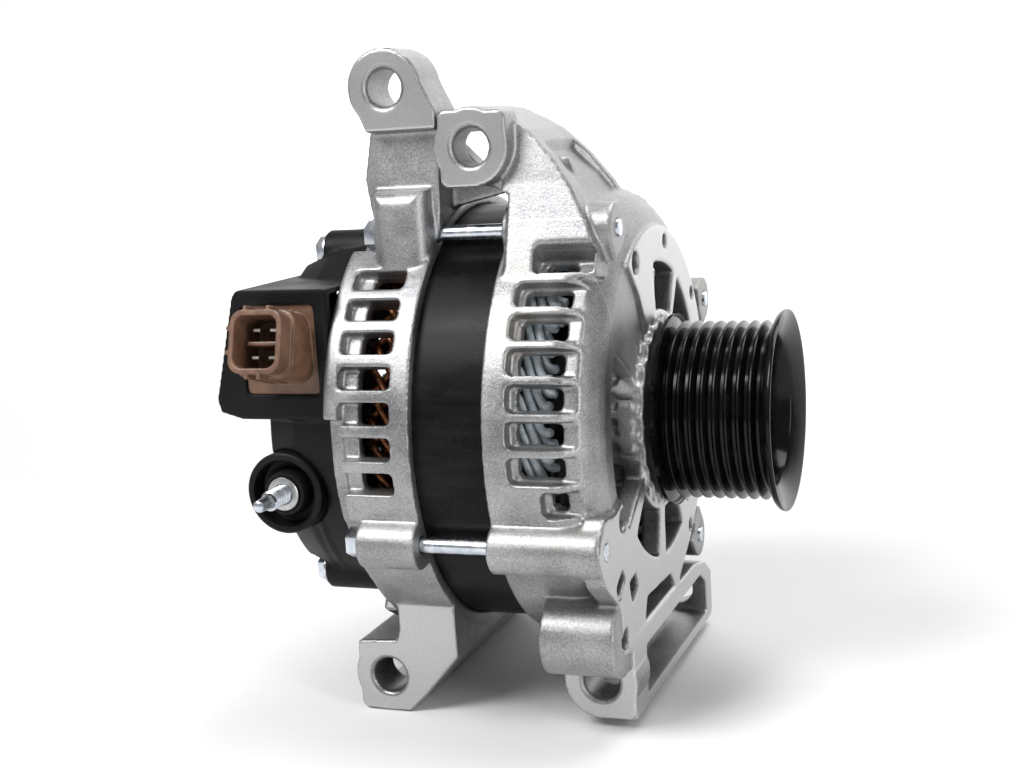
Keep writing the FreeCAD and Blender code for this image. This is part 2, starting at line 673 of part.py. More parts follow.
def rear_bracket():
    add = rear_lugs() + top_column() + [top_web(), low_arm()]
    add += ear_pad(REAR_TOP, EAR_Y, EAR_Y + REAR_TOP_LEN, None)
    add += ear_pad(REAR_LOW, EAR_Y, EAR_Y + 15.0, (-10.4, 2.0, -11.2, 11.0))
    limbs = join(add)
    hollow = cyl(BRACKET_IN_R + 2.0, REAR_FACE_X - 25.0, STACK_X0 - 2.0)
    seat = cyl(STATOR_R + 1.6, STACK_X0 - 2.0, REAR_EDGE_X)
    over = tube(DRUM_R + 1.2, STATOR_R - 5.0, REAR_EDGE_X, FRONT_EDGE_X + 3.0)
    limbs = cut_all(limbs, [hollow, seat, over])
    limbs = [one for one in limbs.Solids if one.Volume > 500.0]
    body = weld([rear_shell()] + limbs)
    tools = rear_inlets() + rear_windows() + low_arm_cuts() + rear_bore_cuts() + bolt_clearance()
    return largest(cut_all(body, tools))


# ---------------- fasteners ----------------
def through_bolts():
    out = []
    for a in BOLT_ANGLES:
        y, z = polar(BOLT_CIRCLE_R, a)
        seat = BOLT_SEAT_X
        head = hexagon(BOLT_HEAD_AF, seat - 4.5, seat - 0.8, y, z)
        collar = cyl(5.2, seat - 0.8, seat, y, z)
        shank = cyl(BOLT_SHANK_R, seat, -35.0, y, z)
        thread = cyl(2.5, -35.0, FRONT_FACE_X + 1.2, y, z)
        out.append(join([head, collar, shank, thread]))
    return Part.makeCompound(out)


def bearing_retainer():
    plate = tube(27.5, 14.5, -35.9, -34.4)
    lobes = [spin(cyl(5.0, -35.9, -34.4, 26.6, 0.0), 90.0 * i + 45.0) for i in range(4)]
    holes = [spin(cyl(2.0, -38.5, -33.0, 26.6, 0.0), 90.0 * i + 45.0) for i in range(4)]
    return cut_all(join([plate] + lobes), holes)


def retainer_screws():
    out = []
    for i in range(4):
        head = cyl(3.5, -37.1, -35.9, 26.6, 0.0)
        body = cyl(2.0, -35.9, -27.0, 26.6, 0.0)
        out.append(spin(join([head, body]), 90.0 * i + 45.0))
    return Part.makeCompound(out)


# ---------------- rectifier ----------------
DIODE_ANGLES = (234.0, 270.0, 306.0, 342.0, 18.0, 54.0)
LEAD_ANGLES = (252.0, 288.0, 324.0, 0.0, 36.0, 72.0)
POST_ANGLES = (221.0, 270.0, 335.0, 80.0)
POST_R = 49.5
DIODE_R = 6.4


def at_angles(make, radius, angles):
    out = []
    for a in angles:
        y, z = polar(radius, a)
        out.append(make(y, z))
    return out


def lobe_notches():
    return at_angles(lambda y, z: cyl(7.9, -125.0, REAR_FACE_X, y, z), COVER_STUD_R, COVER_STUD_ANGLES)


def negative_plate():
    plate = sector(27.0, 53.0, -107.0, REAR_FACE_X, 212.0, 450.0)
    holes = at_angles(lambda y, z: cyl(DIODE_R, -108, -103, y, z), 38.0, DIODE_ANGLES)
    holes += at_angles(lambda y, z: cyl(3.2, -108, -103, y, z), 45.0, LEAD_ANGLES)
    holes += at_angles(lambda y, z: cyl(2.0, -108, -103, y, z), POST_R, POST_ANGLES)
    return cut_all(plate, holes + lobe_notches())


def positive_plate():
    plate = sector(27.0, 53.0, -121.0, -118.0, 212.0, 450.0)
    block = box(-127.0, -118.0, -44.0, -33.0, -21.5, -9.5)
    holes = at_angles(lambda y, z: cyl(DIODE_R, -122, -117, y, z), 38.0, DIODE_ANGLES)
    holes += at_angles(lambda y, z: cyl(2.0, -122, -117, y, z), POST_R, POST_ANGLES)
    for i in range(22):
        a = 222.0 + 10.0 * i
        holes.append(spin(box(-122, -117, 50.0, 54.0, -1.0, 1.0), a + 5.0))
    holes.append(cyl_y(STUD_ROOT_R, -46.0, -36.0, STUD_X, STUD_Z))
    return cut_all(join([plate, block]), holes + lobe_notches())


def negative_diodes():
    def one(y, z):
        return join([cyl(DIODE_R, -109.5, REAR_FACE_X, y, z), cyl(0.8, -112.5, -109.5, y, z)])
    return Part.makeCompound(at_angles(one, 38.0, DIODE_ANGLES))


def positive_diodes():
    def one(y, z):
        return join([cyl(DIODE_R, -121.0, -116.2, y, z), cyl(0.8, -116.2, -115.5, y, z)])
    return Part.makeCompound(at_angles(one, 38.0, DIODE_ANGLES))


def terminal_carrier():
    body = sector(29.0, 53.0, -115.5, -112.5, 214.0, 448.0)
    posts = at_angles(lambda y, z: cyl(3.4, -118.0, -107.0, y, z), POST_R, POST_ANGLES)
    holes = at_angles(lambda y, z: cyl(2.0, -119, -106, y, z), POST_R, POST_ANGLES)
    return cut_all(join([body] + posts), holes + lobe_notches())


def rectifier_screws():
    def one(y, z):
        return join([cyl(3.4, -123.0, -121.0, y, z), cyl(2.0, -121.0, -99.5, y, z)])
    return Part.makeCompound(at_angles(one, POST_R, POST_ANGLES))


def stator_leads():
    """Six leads from the winding back to the terminal carrier."""
    out = []
    for a in LEAD_ANGLES:
        bar = box(-95.0, STACK_X0 - 10.6, 44.0, 56.0, -1.0, 1.0)
        rod = cyl(1.0, -112.5, -92.6, 45.0, 0.0)
        out.append(spin(join([bar, rod]), a))
    return Part.makeCompound(out)


# ---------------- output terminal ----------------
def output_stud():
    y1 = STUD_TIP_Y
    shank = cyl_y(STUD_R, y1 + 6.0, -62.0, STUD_X, STUD_Z)
    root = cyl_y(STUD_ROOT_R, -63.0, -36.0, STUD_X, STUD_Z)
    cone = Part.makeCone(STUD_R * 0.62, STUD_R, 1.2, vec(STUD_X, y1 + 4.8, STUD_Z), vec(0, 1, 0))
    tip = cyl_y(STUD_R * 0.62, y1 + 0.6, y1 + 4.8, STUD_X, STUD_Z)
    point = Part.makeCone(STUD_R * 0.45, STUD_R * 0.62, 0.6, vec(STUD_X, y1, STUD_Z), vec(0, 1, 0))
    return join([root, shank, cone, tip, point])


def stud_collar():
    ring = cyl_y(COLLAR_R, -63.0, -44.0, STUD_X, STUD_Z)
    return ring.cut(cyl_y(STUD_ROOT_R, -70.0, -40.0, STUD_X, STUD_Z))


def stud_insulator():
    body = cyl_y(SKIRT_R, -62.0, -44.5, STUD_X, STUD_Z)
    body = round_edges(body, 0.8, lambda e: e.CenterOfMass.y < -61.0)
    ring = cyl_y(SKIRT_R - 2.4, -63.0, -56.0, STUD_X, STUD_Z)
    ring = ring.cut(cyl_y(COLLAR_R + 1.6, -64.0, -55.0, STUD_X, STUD_Z))
    return cut_all(body, [ring, cyl_y(COLLAR_R, -64.0, -43.0, STUD_X, STUD_Z)])


# ---------------- regulator, brushes, connector ----------------
def regulator():
    body = box(-128.0, -108.0, CONN_BASE_Y + 4.0, -40.0, 10.6, 43.0)
    body = round_edges(body, 2.0, along_y)
    foot = box(-127.0, -108.0, CONN_BASE_Y + 13.0, -40.0, 2.0, 15.0)
    return join([body, foot])


def regulator_cooler():
    y0 = CONN_BASE_Y + 5.0
    block = box(-131.5, -128.0, y0, -41.0, 13.0, 41.0)
    cuts = [box(-132.5, -129.5, y0 - 1, -40.0, 15.0 + 4.0 * i, 17.0 + 4.0 * i) for i in range(6)]
    return cut_all(block, cuts)


def brush_holder():
    body = box(-127.0, -107.0, -40.0, -6.0, -8.0, 8.0)
    tools = [cyl(9.2, -130.0, -100.0)]
    for x in BRUSH_X:
        tools.append(box(x - 2.5, x + 2.5, -33.0, -4.0, -3.5, 3.5))
    return cut_all(body, tools)


def brush(x):
    body = box(x - 2.3, x + 2.3, -21.0, -7.0, -3.3, 3.3)
    return body.cut(cyl(8.5, x - 5.0, x + 5.0))


def spring(x):
    """Brush spring drawn as a stack of close rings joined by a spine."""
    rings = []
    for i in range(8):
        y = -32.6 + 1.5 * i
        outer = cyl_y(2.2, y, y + 0.6, x, 0.0)
        rings.append(outer.cut(cyl_y(1.6, y - 1, y + 2, x, 0.0)))
    spine = box(x - 0.3, x + 0.3, -33.0, -21.0, 1.6, 2.2)
    return join(rings + [spine])


def oval_tube(w, h, y0, y1, x, z, corner):
    body = box(x - w / 2.0, x + w / 2.0, y0, y1, z - h / 2.0, z + h / 2.0)
    return round_edges(body, corner, along_y)


def tilt_up(shape):
    out = shape.copy()
    out.rotate(vec(CONN_X, CONN_BASE_Y, CONN_Z), AXIS_X, -CONN_TILT)
    return out


def connector_shell():
    x, z = CONN_X, CONN_Z
    mouth_y, base_y = CONN_MOUTH_Y, CONN_BASE_Y
    flange = box(-132.5, -108.0, base_y, base_y + 4.0, 15.5, 42.5)
    flange = round_edges(flange, 1.5, along_y)
    mouth = oval_tube(CONN_W, CONN_H, mouth_y, base_y + 3.0, x, z, 4.0)
    base = oval_tube(CONN_W + 2.0, CONN_H + 1.6, mouth_y + 6.0, base_y + 3.0, x, z, 4.6)
    ribs = []
    top, low, side = z + CONN_H / 2, z - CONN_H / 2, x - CONN_W / 2
    for dx in (-4.0, 3.5):
        ribs.append(box(x + dx - 0.6, x + dx + 0.6, mouth_y + 0.4, base_y - 3.0, top - 1, top + 1.3))
    for dz in (-3.0, 4.0):
        ribs.append(box(side - 1.3, side + 1, mouth_y + 0.4, base_y - 3.0, z + dz - 0.6, z + dz + 0.6))
    for dx in (-2.5, 1.5):
        ribs.append(box(x + dx - 0.6, x + dx + 0.6, mouth_y + 0.4, base_y, low - 1.5, low + 1))
    socket = oval_tube(CONN_W - 3.2, CONN_H - 3.2, mouth_y - 2.0, base_y - 2.0, x, z, 3.0)
    shelf = box(side + 3.4, x + CONN_W / 2 - 3.4, mouth_y + 5.0, base_y - 1.5, z - 0.6, z + 0.6)
    shell = join([mouth, base] + ribs)
    shell = tilt_up(join([shell.cut(socket), shelf]))
    body = join([flange, shell])
    body = body.cut(box(-140, -100, base_y + 4.0, -30.0, 0, 60))
    return cut_all(body, [tilt_up(p) for p in pin_bars()])


def pin_bars():
    out = []
    for dx in (-2.8, 2.8):
        for dz in (-4.0, 4.0):
            x, z = CONN_X + dx, CONN_Z + dz
            out.append(box(x - 1.1, x + 1.1, CONN_MOUTH_Y + 6.0, CONN_BASE_Y + 6.0, z - 0.4, z + 0.4))
    return out


def connector_pins():
    keep = box(-140, -100, -90.0, CONN_BASE_Y + 4.0, 0, 60)
    return Part.makeCompound([tilt_up(p).common(keep) for p in pin_bars()])


# ---------------- rear cover ----------------
def dome(r, x_back, x_front, soft):
    pts = [(x_front, 0.0), (x_front, r + 1.6), (x_front - 5.0, r + 1.0), (x_back + soft * 1.3, r)]
    pts += [(x_back + soft * 0.45, r - soft * 0.35), (x_back + soft * 0.1, r - soft), (x_back, r - soft * 1.6)]
    pts += [(x_back, 0.0)]
    return lathe(pts)


def bulge(inset):
    """Box on the cover that shields the regulator round the connector."""
    i = inset
    out = [(-133.5 + i, 47.0 - i), (-135.0 + i, 45.0 - i), (-143.0 + i, 14.0 + i), (-142.0 + i, 10.0 + i)]
    out += [(-135.0 + i, 8.0 + i), (REAR_FACE_X, 8.0 + i), (REAR_FACE_X, 47.0 - i)]
    return plate_xz(out, CONN_BASE_Y - 1.0 + (4.0 if i else 0.0), -16.0 - i)


def cover_lobes(r):
    return at_angles(lambda y, z: cyl(r, -122.0, REAR_FACE_X, y, z), COVER_STUD_R, COVER_STUD_ANGLES)


def rear_cover():
    skin = dome(COVER_R, COVER_BACK_X, REAR_FACE_X, 12.0)
    outside = join([skin, bulge(0.0)] + cover_lobes(6.5))
    inside = dome(COVER_R - 2.0, COVER_BACK_X + 2.0, REAR_FACE_X + 1.0, 11.0)
    inside = inside.fuse(bulge(2.0))
    lobes = cover_lobes(6.5)
    cups = at_angles(lambda y, z: cyl(7.6, -134.0, REAR_FACE_X, y, z), COVER_STUD_R, COVER_STUD_ANGLES)
    body = join([outside.cut(inside)] + lobes + [cup.common(skin) for cup in cups])
    stud_holes = at_angles(lambda y, z: cyl(2.5, -124.0, -100.0, y, z), COVER_STUD_R, COVER_STUD_ANGLES)
    tools = at_angles(lambda y, z: cyl(6.0, -140.0, -122.0, y, z), COVER_STUD_R, COVER_STUD_ANGLES)
    window = box(-132.5, -108.0, CONN_BASE_Y - 2.0, CONN_BASE_Y + 4.0, 15.5, 42.5)
    tools.append(round_edges(window, 1.5, along_y))
    tools.append(cyl_y(SKIRT_R, -70.0, -44.5, STUD_X, STUD_Z))
    for i in range(14):
        tools.append(sector(20.0, 40.0, COVER_BACK_X - 1.0, COVER_BACK_X + 3.0, 205.0 + 18.0 * i,
                            213.0 + 18.0 * i))
    ridge = sector(COVER_R - 1.0, COVER_R + 0.8, -115.0, -113.6, 200.0, 480.0)
    body = join([cut_all(body, tools), ridge.cut(bulge(0.0))])
    return largest(cut_all(body, stud_holes + [cyl_y(SKIRT_R, -70.0, -44.5, STUD_X, STUD_Z)]))


def cover_studs():
    def one(y, z):
        return cyl(2.5, -125.5, -99.5, y, z)
    return Part.makeCompound(at_angles(one, COVER_STUD_R, COVER_STUD_ANGLES))


def cover_nuts():
    def one(y, z):
        nut = hexagon(8.0, -125.5, -122.9, y, z).fuse(cyl(5.4, -122.9, -122.0, y, z))
        return nut.cut(cyl(2.5, -127.0, -121.0, y, z)).removeSplitter()
    return Part.makeCompound(at_angles(one, COVER_STUD_R, COVER_STUD_ANGLES))


# ---------------- build ----------------
def build():
    save("pulley", pulley())
    save("rotor_shaft", rotor_shaft())
    save("spacer_collar", spacer_collar())
    save("pulley_nut", pulley_nut())
    save("front_claw_pole", front_claw_pole())
    save("rear_claw_pole", rear_claw_pole())
    save("field_bobbin", field_bobbin())
    save("field_coil", field_coil())
    save("front_fan", front_fan())
    save("rear_fan", rear_fan())
    save("slip_sleeve", slip_sleeve())
    save("slip_rings", slip_rings())
    save("front_bearing_outer", race(23.5, 19.5, -34.4, -20.4))
    save("front_bearing_balls", balls(15.9, 3.3, -27.4, 9))
    save("front_bearing_cage", cage(15.9, 3.3, -27.4, 9))
    save("front_bearing_inner", race(12.3, SHAFT_R, -34.4, -20.4))
    save("front_bearing_seals", seals(19.5, 12.7, -34.2, -20.6))
    save("rear_bearing_outer", race(17.5, 14.9, -103.0, -92.0))
    save("rear_bearing_balls", balls(12.3, 2.3, -97.5, 9))
    save("rear_bearing_cage", cage(12.3, 2.3, -97.5, 9))
    save("rear_bearing_inner", race(9.7, REAR_SHAFT_R, -103.0, -92.0))
    save("rear_bearing_seals", seals(14.9, 10.1, -102.8, -92.2))
    save("bearing_retainer", bearing_retainer())
    save("retainer_screws", retainer_screws())
    save("stator_core", stator_core())
    save("stator_winding", stator_winding())
    save("stator_leads", stator_leads())
    save("front_bracket", front_bracket())
    save("rear_bracket", rear_bracket())
    save("through_bolts", through_bolts())
    save("negative_plate", negative_plate())
    save("positive_plate", positive_plate())
    save("negative_diodes", negative_diodes())
    save("positive_diodes", positive_diodes())
    save("terminal_carrier", terminal_carrier())
    save("rectifier_screws", rectifier_screws())
    save("output_stud", output_stud())
    save("stud_collar", stud_collar())
    save("stud_insulator", stud_insulator())
    save("regulator", regulator())
    save("regulator_cooler", regulator_cooler())
    save("brush_holder", brush_holder())
    save("brush_front", brush(BRUSH_X[0]))
    save("brush_rear", brush(BRUSH_X[1]))
    save("brush_spring_front", spring(BRUSH_X[0]))
    save("brush_spring_rear", spring(BRUSH_X[1]))
    save("connector_shell", connector_shell())
    save("connector_pins", connector_pins())
    save("rear_cover", rear_cover())
    save("cover_studs", cover_studs())
    save("cover_nuts", cover_nuts())


build()
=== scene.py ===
import json
import math

import bpy
from mathutils import Matrix, Vector


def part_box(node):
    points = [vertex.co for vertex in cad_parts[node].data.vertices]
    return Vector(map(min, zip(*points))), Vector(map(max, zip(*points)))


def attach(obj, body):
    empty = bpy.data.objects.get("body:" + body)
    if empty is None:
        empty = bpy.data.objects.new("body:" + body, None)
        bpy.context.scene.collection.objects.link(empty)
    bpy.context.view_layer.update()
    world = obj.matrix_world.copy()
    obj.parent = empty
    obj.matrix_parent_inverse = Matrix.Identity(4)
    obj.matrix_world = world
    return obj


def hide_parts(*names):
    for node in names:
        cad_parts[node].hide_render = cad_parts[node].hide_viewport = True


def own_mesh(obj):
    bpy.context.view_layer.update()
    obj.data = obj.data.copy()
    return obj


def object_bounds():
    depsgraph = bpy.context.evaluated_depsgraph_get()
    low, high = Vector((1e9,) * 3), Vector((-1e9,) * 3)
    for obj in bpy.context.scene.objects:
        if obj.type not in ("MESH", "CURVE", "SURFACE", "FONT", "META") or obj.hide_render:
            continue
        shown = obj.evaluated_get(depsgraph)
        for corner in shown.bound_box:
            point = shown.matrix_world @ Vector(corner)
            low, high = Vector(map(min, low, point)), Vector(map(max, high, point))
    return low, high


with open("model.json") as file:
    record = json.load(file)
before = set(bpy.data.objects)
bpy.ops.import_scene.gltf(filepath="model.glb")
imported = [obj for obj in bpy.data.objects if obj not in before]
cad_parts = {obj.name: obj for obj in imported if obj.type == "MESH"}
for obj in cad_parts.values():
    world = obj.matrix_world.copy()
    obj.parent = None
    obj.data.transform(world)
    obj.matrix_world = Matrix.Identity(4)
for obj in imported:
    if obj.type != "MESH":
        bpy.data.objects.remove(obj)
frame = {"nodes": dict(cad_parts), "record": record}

bl_info = {
    "name": "Car alternator",
    "version": (1, 0, 0),
    "blender": (4, 5, 0),
    "location": "View3D > Sidebar > Alternator",
    "description": "Builds the visible pieces, finishes and studio of a car alternator round its CAD frame",
    "category": "Object",
}

MM = 0.001
NODES = frame["nodes"]
CAD_BOX = [list(corner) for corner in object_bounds()]

# Lengths below are in millimetres in the CAD frame: X along the shaft, Y away from the ears, Z up.
MOUNTS = {mount["name"]: [value / MM for value in mount["pos_m"]] for mount in frame["record"]["mounts"]}
EARS = [(place[0], place[2]) for name, place in MOUNTS.items() if name.startswith("ear_")]
EAR_FACE_Y = -45.0
EAR_FACE_REACH = 17.5        # farthest point of a machined ear face from its bore's axis
EAR_SHADE_RING_R = 6.6              # radius of the painted shade ring on the chamfer round an ear bore
CUT_DEPTH = 0.12             # how near a point lies to a machined face that it belongs to
FRONT_PLATEAU = (-20.95, -20.2)
STUD_AXIS = (MOUNTS["output_stud"][0], MOUNTS["output_stud"][2])
STUD_TIP_Y = -78.0
COLLAR_FACE_Y = -63.0
THREAD_PITCH = 1.0
RIB_PITCH = 3.56
RIB_COUNT = 9
CREST_R = 27.5
STACK_BACK, STACK_FRONT = -82.0, -49.0
SLOTS = 48
WALL_HEIGHT = 4.0            # metres, as are the camera's place and directions
CAMERA_PLACE = (0.1011, -0.4471, 0.0921)
CAMERA_RIGHT = (0.9356, 0.3475, -0.0618)
CAMERA_UP = (-0.0035, 0.1843, 0.9829)
CAMERA_BACK = (0.3529, -0.9194, 0.1736)
CAMERA_LENS = 52.73


# ---------------------------------------------------------------- modelling helpers
def deselect():
    if bpy.context.object and bpy.context.object.mode != "OBJECT":
        bpy.ops.object.mode_set(mode="OBJECT")
    bpy.ops.object.select_all(action="DESELECT")


def make_active(piece):
    deselect()
    piece.select_set(True)
    bpy.context.view_layer.objects.active = piece
    return piece


def edit(piece):
    make_active(piece)
    bpy.ops.object.mode_set(mode="EDIT")
    bpy.ops.mesh.select_mode(type="VERT")
    bpy.ops.mesh.select_all(action="DESELECT")


def leave_edit():
    bpy.ops.object.mode_set(mode="OBJECT")


def select_points(piece, wanted):
    """Selects the points of a piece in edit mode whose place, in millimetres, is wanted."""
    bpy.ops.object.mode_set(mode="OBJECT")
    count = 0
    for vertex in piece.data.vertices:
        vertex.select = bool(wanted(vertex.co / MM))
        count += vertex.select
    bpy.ops.object.mode_set(mode="EDIT")
    return count


def apply_modifier(piece, kind, **settings):
    make_active(piece)
    modifier = piece.modifiers.new(kind.lower(), kind)
    for key, value in settings.items():
        setattr(modifier, key, value)
    bpy.ops.object.modifier_apply(modifier=modifier.name)


def settle(piece, angle=32.0):
    """Places the piece in its mesh, with smooth shading up to an edge angle."""
    make_active(piece)
    bpy.ops.object.transform_apply(location=True, rotation=True, scale=True)
    bpy.ops.object.shade_smooth_by_angle(angle=math.radians(angle))
    return piece


def face_outwards(piece, merge=0.002):
    edit(piece)
    bpy.ops.mesh.select_all(action="SELECT")
    bpy.ops.mesh.remove_doubles(threshold=merge * MM)
    bpy.ops.mesh.normals_make_consistent(inside=False)
    leave_edit()


def joined(name, pieces):
    deselect()
    for piece in pieces:
        piece.select_set(True)
    bpy.context.view_layer.objects.active = pieces[0]
    if len(pieces) > 1:
        bpy.ops.object.join()
    pieces[0].name = name
    pieces[0].data.name = name
    return pieces[0]


def copy_of(piece, matrix=None):
    """A copy with its own mesh, moved by a matrix in metres."""
    twin = piece.copy()
    twin.data = piece.data.copy()
    bpy.context.scene.collection.objects.link(twin)
    if matrix:
        twin.data.transform(matrix)
        if matrix.determinant() < 0:
            twin.data.flip_normals()
    return twin


def round_shaft(angle):
    return Matrix.Rotation(math.radians(angle), 4, "X")


def from_cad(name, *nodes):
    """A merged copy of CAD solids, ready to be shaped further."""
    twins = []
    for node in nodes:
        twin = NODES[node].copy()
        twin.data = NODES[node].data.copy()
        for key in list(twin.keys()):
            del twin[key]
        twin.parent = None
        twin.matrix_world = Matrix.Identity(4)
        bpy.context.scene.collection.objects.link(twin)
        twins.append(twin)
    piece = joined(name, twins)
    edit(piece)
    bpy.ops.mesh.select_all(action="SELECT")
    bpy.ops.mesh.remove_doubles(threshold=0.001 * MM)
    leave_edit()
    piece.data.materials.clear()
    return piece


def moulded(name, nodes, voxel, passes, most_faces):
    """A cast or moulded skin: the CAD solid with every edge softly rounded."""
    piece = from_cad(name, *nodes)
    apply_modifier(piece, "REMESH", mode="VOXEL", voxel_size=voxel * MM, adaptivity=0.0)
    apply_modifier(piece, "SMOOTH", factor=0.5, iterations=passes)
    ratio = most_faces / (2.0 * len(piece.data.polygons))
    if ratio < 1.0:
        apply_modifier(piece, "DECIMATE", ratio=ratio)
    return piece


def chamfered(name, nodes, width, segments=2, angle=30.0):
    """A machined piece: the CAD solid with a small bevel on its edges."""
    piece = from_cad(name, *nodes)
    edit(piece)
    bpy.ops.mesh.select_all(action="SELECT")
    bpy.ops.mesh.dissolve_limited(angle_limit=math.radians(0.5))
    leave_edit()
    apply_modifier(piece, "BEVEL", width=width * MM, segments=segments, limit_method="ANGLE",
                   angle_limit=math.radians(angle), use_clamp_overlap=True)
    return settle(piece, 40.0)


def turned(name, profile, steps, axis="X", centre=(0.0, 0.0)):
    """Turns a profile of (along, radius) pairs, in millimetres, round an axis.

    The axis runs along X through centre (Y, Z), or along Y through centre (X, Z)."""
    def place(along, radius):
        if axis == "X":
            return Vector((along, centre[0] + radius, centre[1])) * MM
        return Vector((centre[0] + radius, along, centre[1])) * MM

    deselect()
    bpy.ops.mesh.primitive_plane_add(size=MM, location=place(*profile[0]))
    piece = bpy.context.object
    bpy.ops.object.mode_set(mode="EDIT")
    bpy.ops.mesh.merge(type="CENTER")
    here = place(*profile[0])
    for along, radius in profile[1:]:
        there = place(along, radius)
        bpy.ops.mesh.extrude_region_move(TRANSFORM_OT_translate={"value": there - here})
        here = there
    bpy.ops.mesh.select_all(action="SELECT")
    origin = place(0.0, 0.0)
    direction = (1, 0, 0) if axis == "X" else (0, 1, 0)
    bpy.ops.mesh.spin(steps=steps, angle=math.tau, center=origin, axis=direction)
    leave_edit()
    piece.name = name
    settle(piece)
    face_outwards(piece)
    return piece


def rod(name, points, radii, sides=3, steps=3):
    """A bent rod with closed ends along points in millimetres; radii has one value per point."""
    deselect()
    bpy.ops.curve.primitive_nurbs_path_add(location=(0, 0, 0))
    piece = bpy.context.object
    curve = piece.data
    curve.splines.clear()
    spline = curve.splines.new("NURBS")
    spline.points.add(len(points) - 1)
    for knot, point, radius in zip(spline.points, points, radii):
        knot.co = (*(Vector(point) * MM), 1.0)
        knot.radius = radius
    spline.order_u = 3
    spline.use_endpoint_u = True
    spline.resolution_u = steps
    curve.dimensions = "3D"
    curve.bevel_depth = MM
    curve.bevel_resolution = sides
    curve.use_fill_caps = True
    make_active(piece)
    bpy.ops.object.convert(target="MESH")
    piece.name = name
    return bpy.context.object


# ---------------------------------------------------------------- material helpers
class Value:
    """A shader value or colour that can be used in sums."""

    def __init__(self, look, socket):
        self.look = look
        self.socket = socket

    def _sum(self, operation, other, swap=False):
        pair = (other, self) if swap else (self, other)
        return self.look.node("Math", {"operation": operation}, {0: pair[0], 1: pair[1]})

    def __add__(self, other):
        return self._sum("ADD", other)

    def __radd__(self, other):
        return self._sum("ADD", other, True)

    def __sub__(self, other):
        return self._sum("SUBTRACT", other)

    def __rsub__(self, other):
        return self._sum("SUBTRACT", other, True)

    def __mul__(self, other):
        return self._sum("MULTIPLY", other)

    def __rmul__(self, other):
        return self._sum("MULTIPLY", other, True)

    def __pow__(self, other):
        return self._sum("POWER", other)

    def __lt__(self, other):
        return self._sum("LESS_THAN", other)

    def __gt__(self, other):
        return self._sum("GREATER_THAN", other)

    def most(self, other):
        return self._sum("MAXIMUM", other)

    def least(self, other):
        return self._sum("MINIMUM", other)

    def wave(self):
        return self.look.node("Math", {"operation": "SINE"}, {0: self})

    def size(self):
        return self.look.node("Math", {"operation": "ABSOLUTE"}, {0: self})


class Look:
    """One finish: a material, its shader and the nodes that feed it."""

    def __init__(self, name, colour, roughness, metallic=0.0, **constants):
        self.material = bpy.data.materials.new(name)
        self.material.use_nodes = True
        self.tree = self.material.node_tree
        self.shader = self.tree.nodes["Principled BSDF"]
        self.feed(self.shader.inputs["Base Color"], colour)
        self.feed(self.shader.inputs["Roughness"], roughness)
        self.feed(self.shader.inputs["Metallic"], metallic)
        for key, value in constants.items():
            self.shader.inputs[key.replace("_", " ")].default_value = value
        self.place = self.node("TexCoord", output="Object")
        split = self.tree.nodes.new("ShaderNodeSeparateXYZ")
        self.feed(split.inputs[0], self.place)
        self.x, self.y, self.z = (Value(self, out) for out in split.outputs)

    def feed(self, socket, value):
        if isinstance(value, Value):
            self.tree.links.new(value.socket, socket)
        elif hasattr(socket.default_value, "__len__") and len(socket.default_value) == 4:
            socket.default_value = (*value[:3], 1.0)
        else:
            socket.default_value = value

    def node(self, kind, settings=None, inputs=None, output=0):
        node = self.tree.nodes.new("ShaderNode" + kind)
        for key, value in (settings or {}).items():
            if key == "stops":
                ramp = node.color_ramp.elements
                while len(ramp) < len(value):
                    ramp.new(0.5)
                for stop, (at, shade) in zip(ramp, value):
                    stop.position = at
                    stop.color = (*shade, 1.0) if hasattr(shade, "__len__") else (shade,) * 3 + (1.0,)
            else:
                setattr(node, key, value)
        for key, value in (inputs or {}).items():
            self.feed(node.inputs[key], value)
        return Value(self, node.outputs[output])

    def noise(self, grain, detail=3.0, rough=0.55, stretch=(1, 1, 1)):
        """Noise whose features are about grain millimetres across."""
        place = self.place
        if stretch != (1, 1, 1):
            place = self.node("Mapping", {}, {"Vector": self.place, "Scale": stretch})
        return self.node("TexNoise", {}, {"Vector": place, "Scale": 1.0 / (grain * MM),
                                          "Detail": detail, "Roughness": rough})

    def cells(self, grain):
        return self.node("TexVoronoi", {"feature": "F1"},
                         {"Vector": self.place, "Scale": 1.0 / (grain * MM)})

    def ramp(self, value, *stops):
        return self.node("ValToRGB", {"stops": stops}, {0: value})

    def span(self, value, low, high, to_low=0.0, to_high=1.0):
        return self.node("MapRange", {"clamp": True},
                         {"Value": value, "From Min": low, "From Max": high,
                          "To Min": to_low, "To Max": to_high})

    def mix(self, factor, first, second):
        node = self.tree.nodes.new("ShaderNodeMix")
        node.data_type = "RGBA"
        self.feed(node.inputs[0], factor)
        self.feed(node.inputs[6], first)
        self.feed(node.inputs[7], second)
        return Value(self, node.outputs[2])

    def bump(self, height, depth, strength=1.0, under=None):
        """Relief of depth millimetres."""
        inputs = {"Height": height, "Distance": depth * MM, "Strength": strength}
        if under:
            inputs["Normal"] = under
        return self.node("Bump", {}, inputs)

    def set(self, **links):
        for key, value in links.items():
            self.feed(self.shader.inputs[key.replace("_", " ")], value)
        return self.material


def ear_rings(look, wave_length):
    """Distance from the nearest ear bore, and the tool marks that circle it."""
    nearest = None
    for x, z in EARS:
        dx = look.x - x * MM
        dz = look.z - z * MM
        away = (dx * dx + dz * dz) ** 0.5
        nearest = away if nearest is None else nearest.least(away)
    wobble = look.noise(1.2, 2.0) * (0.10 * MM)
    return nearest, ((nearest + wobble) * (math.tau / (wave_length * MM))).wave()


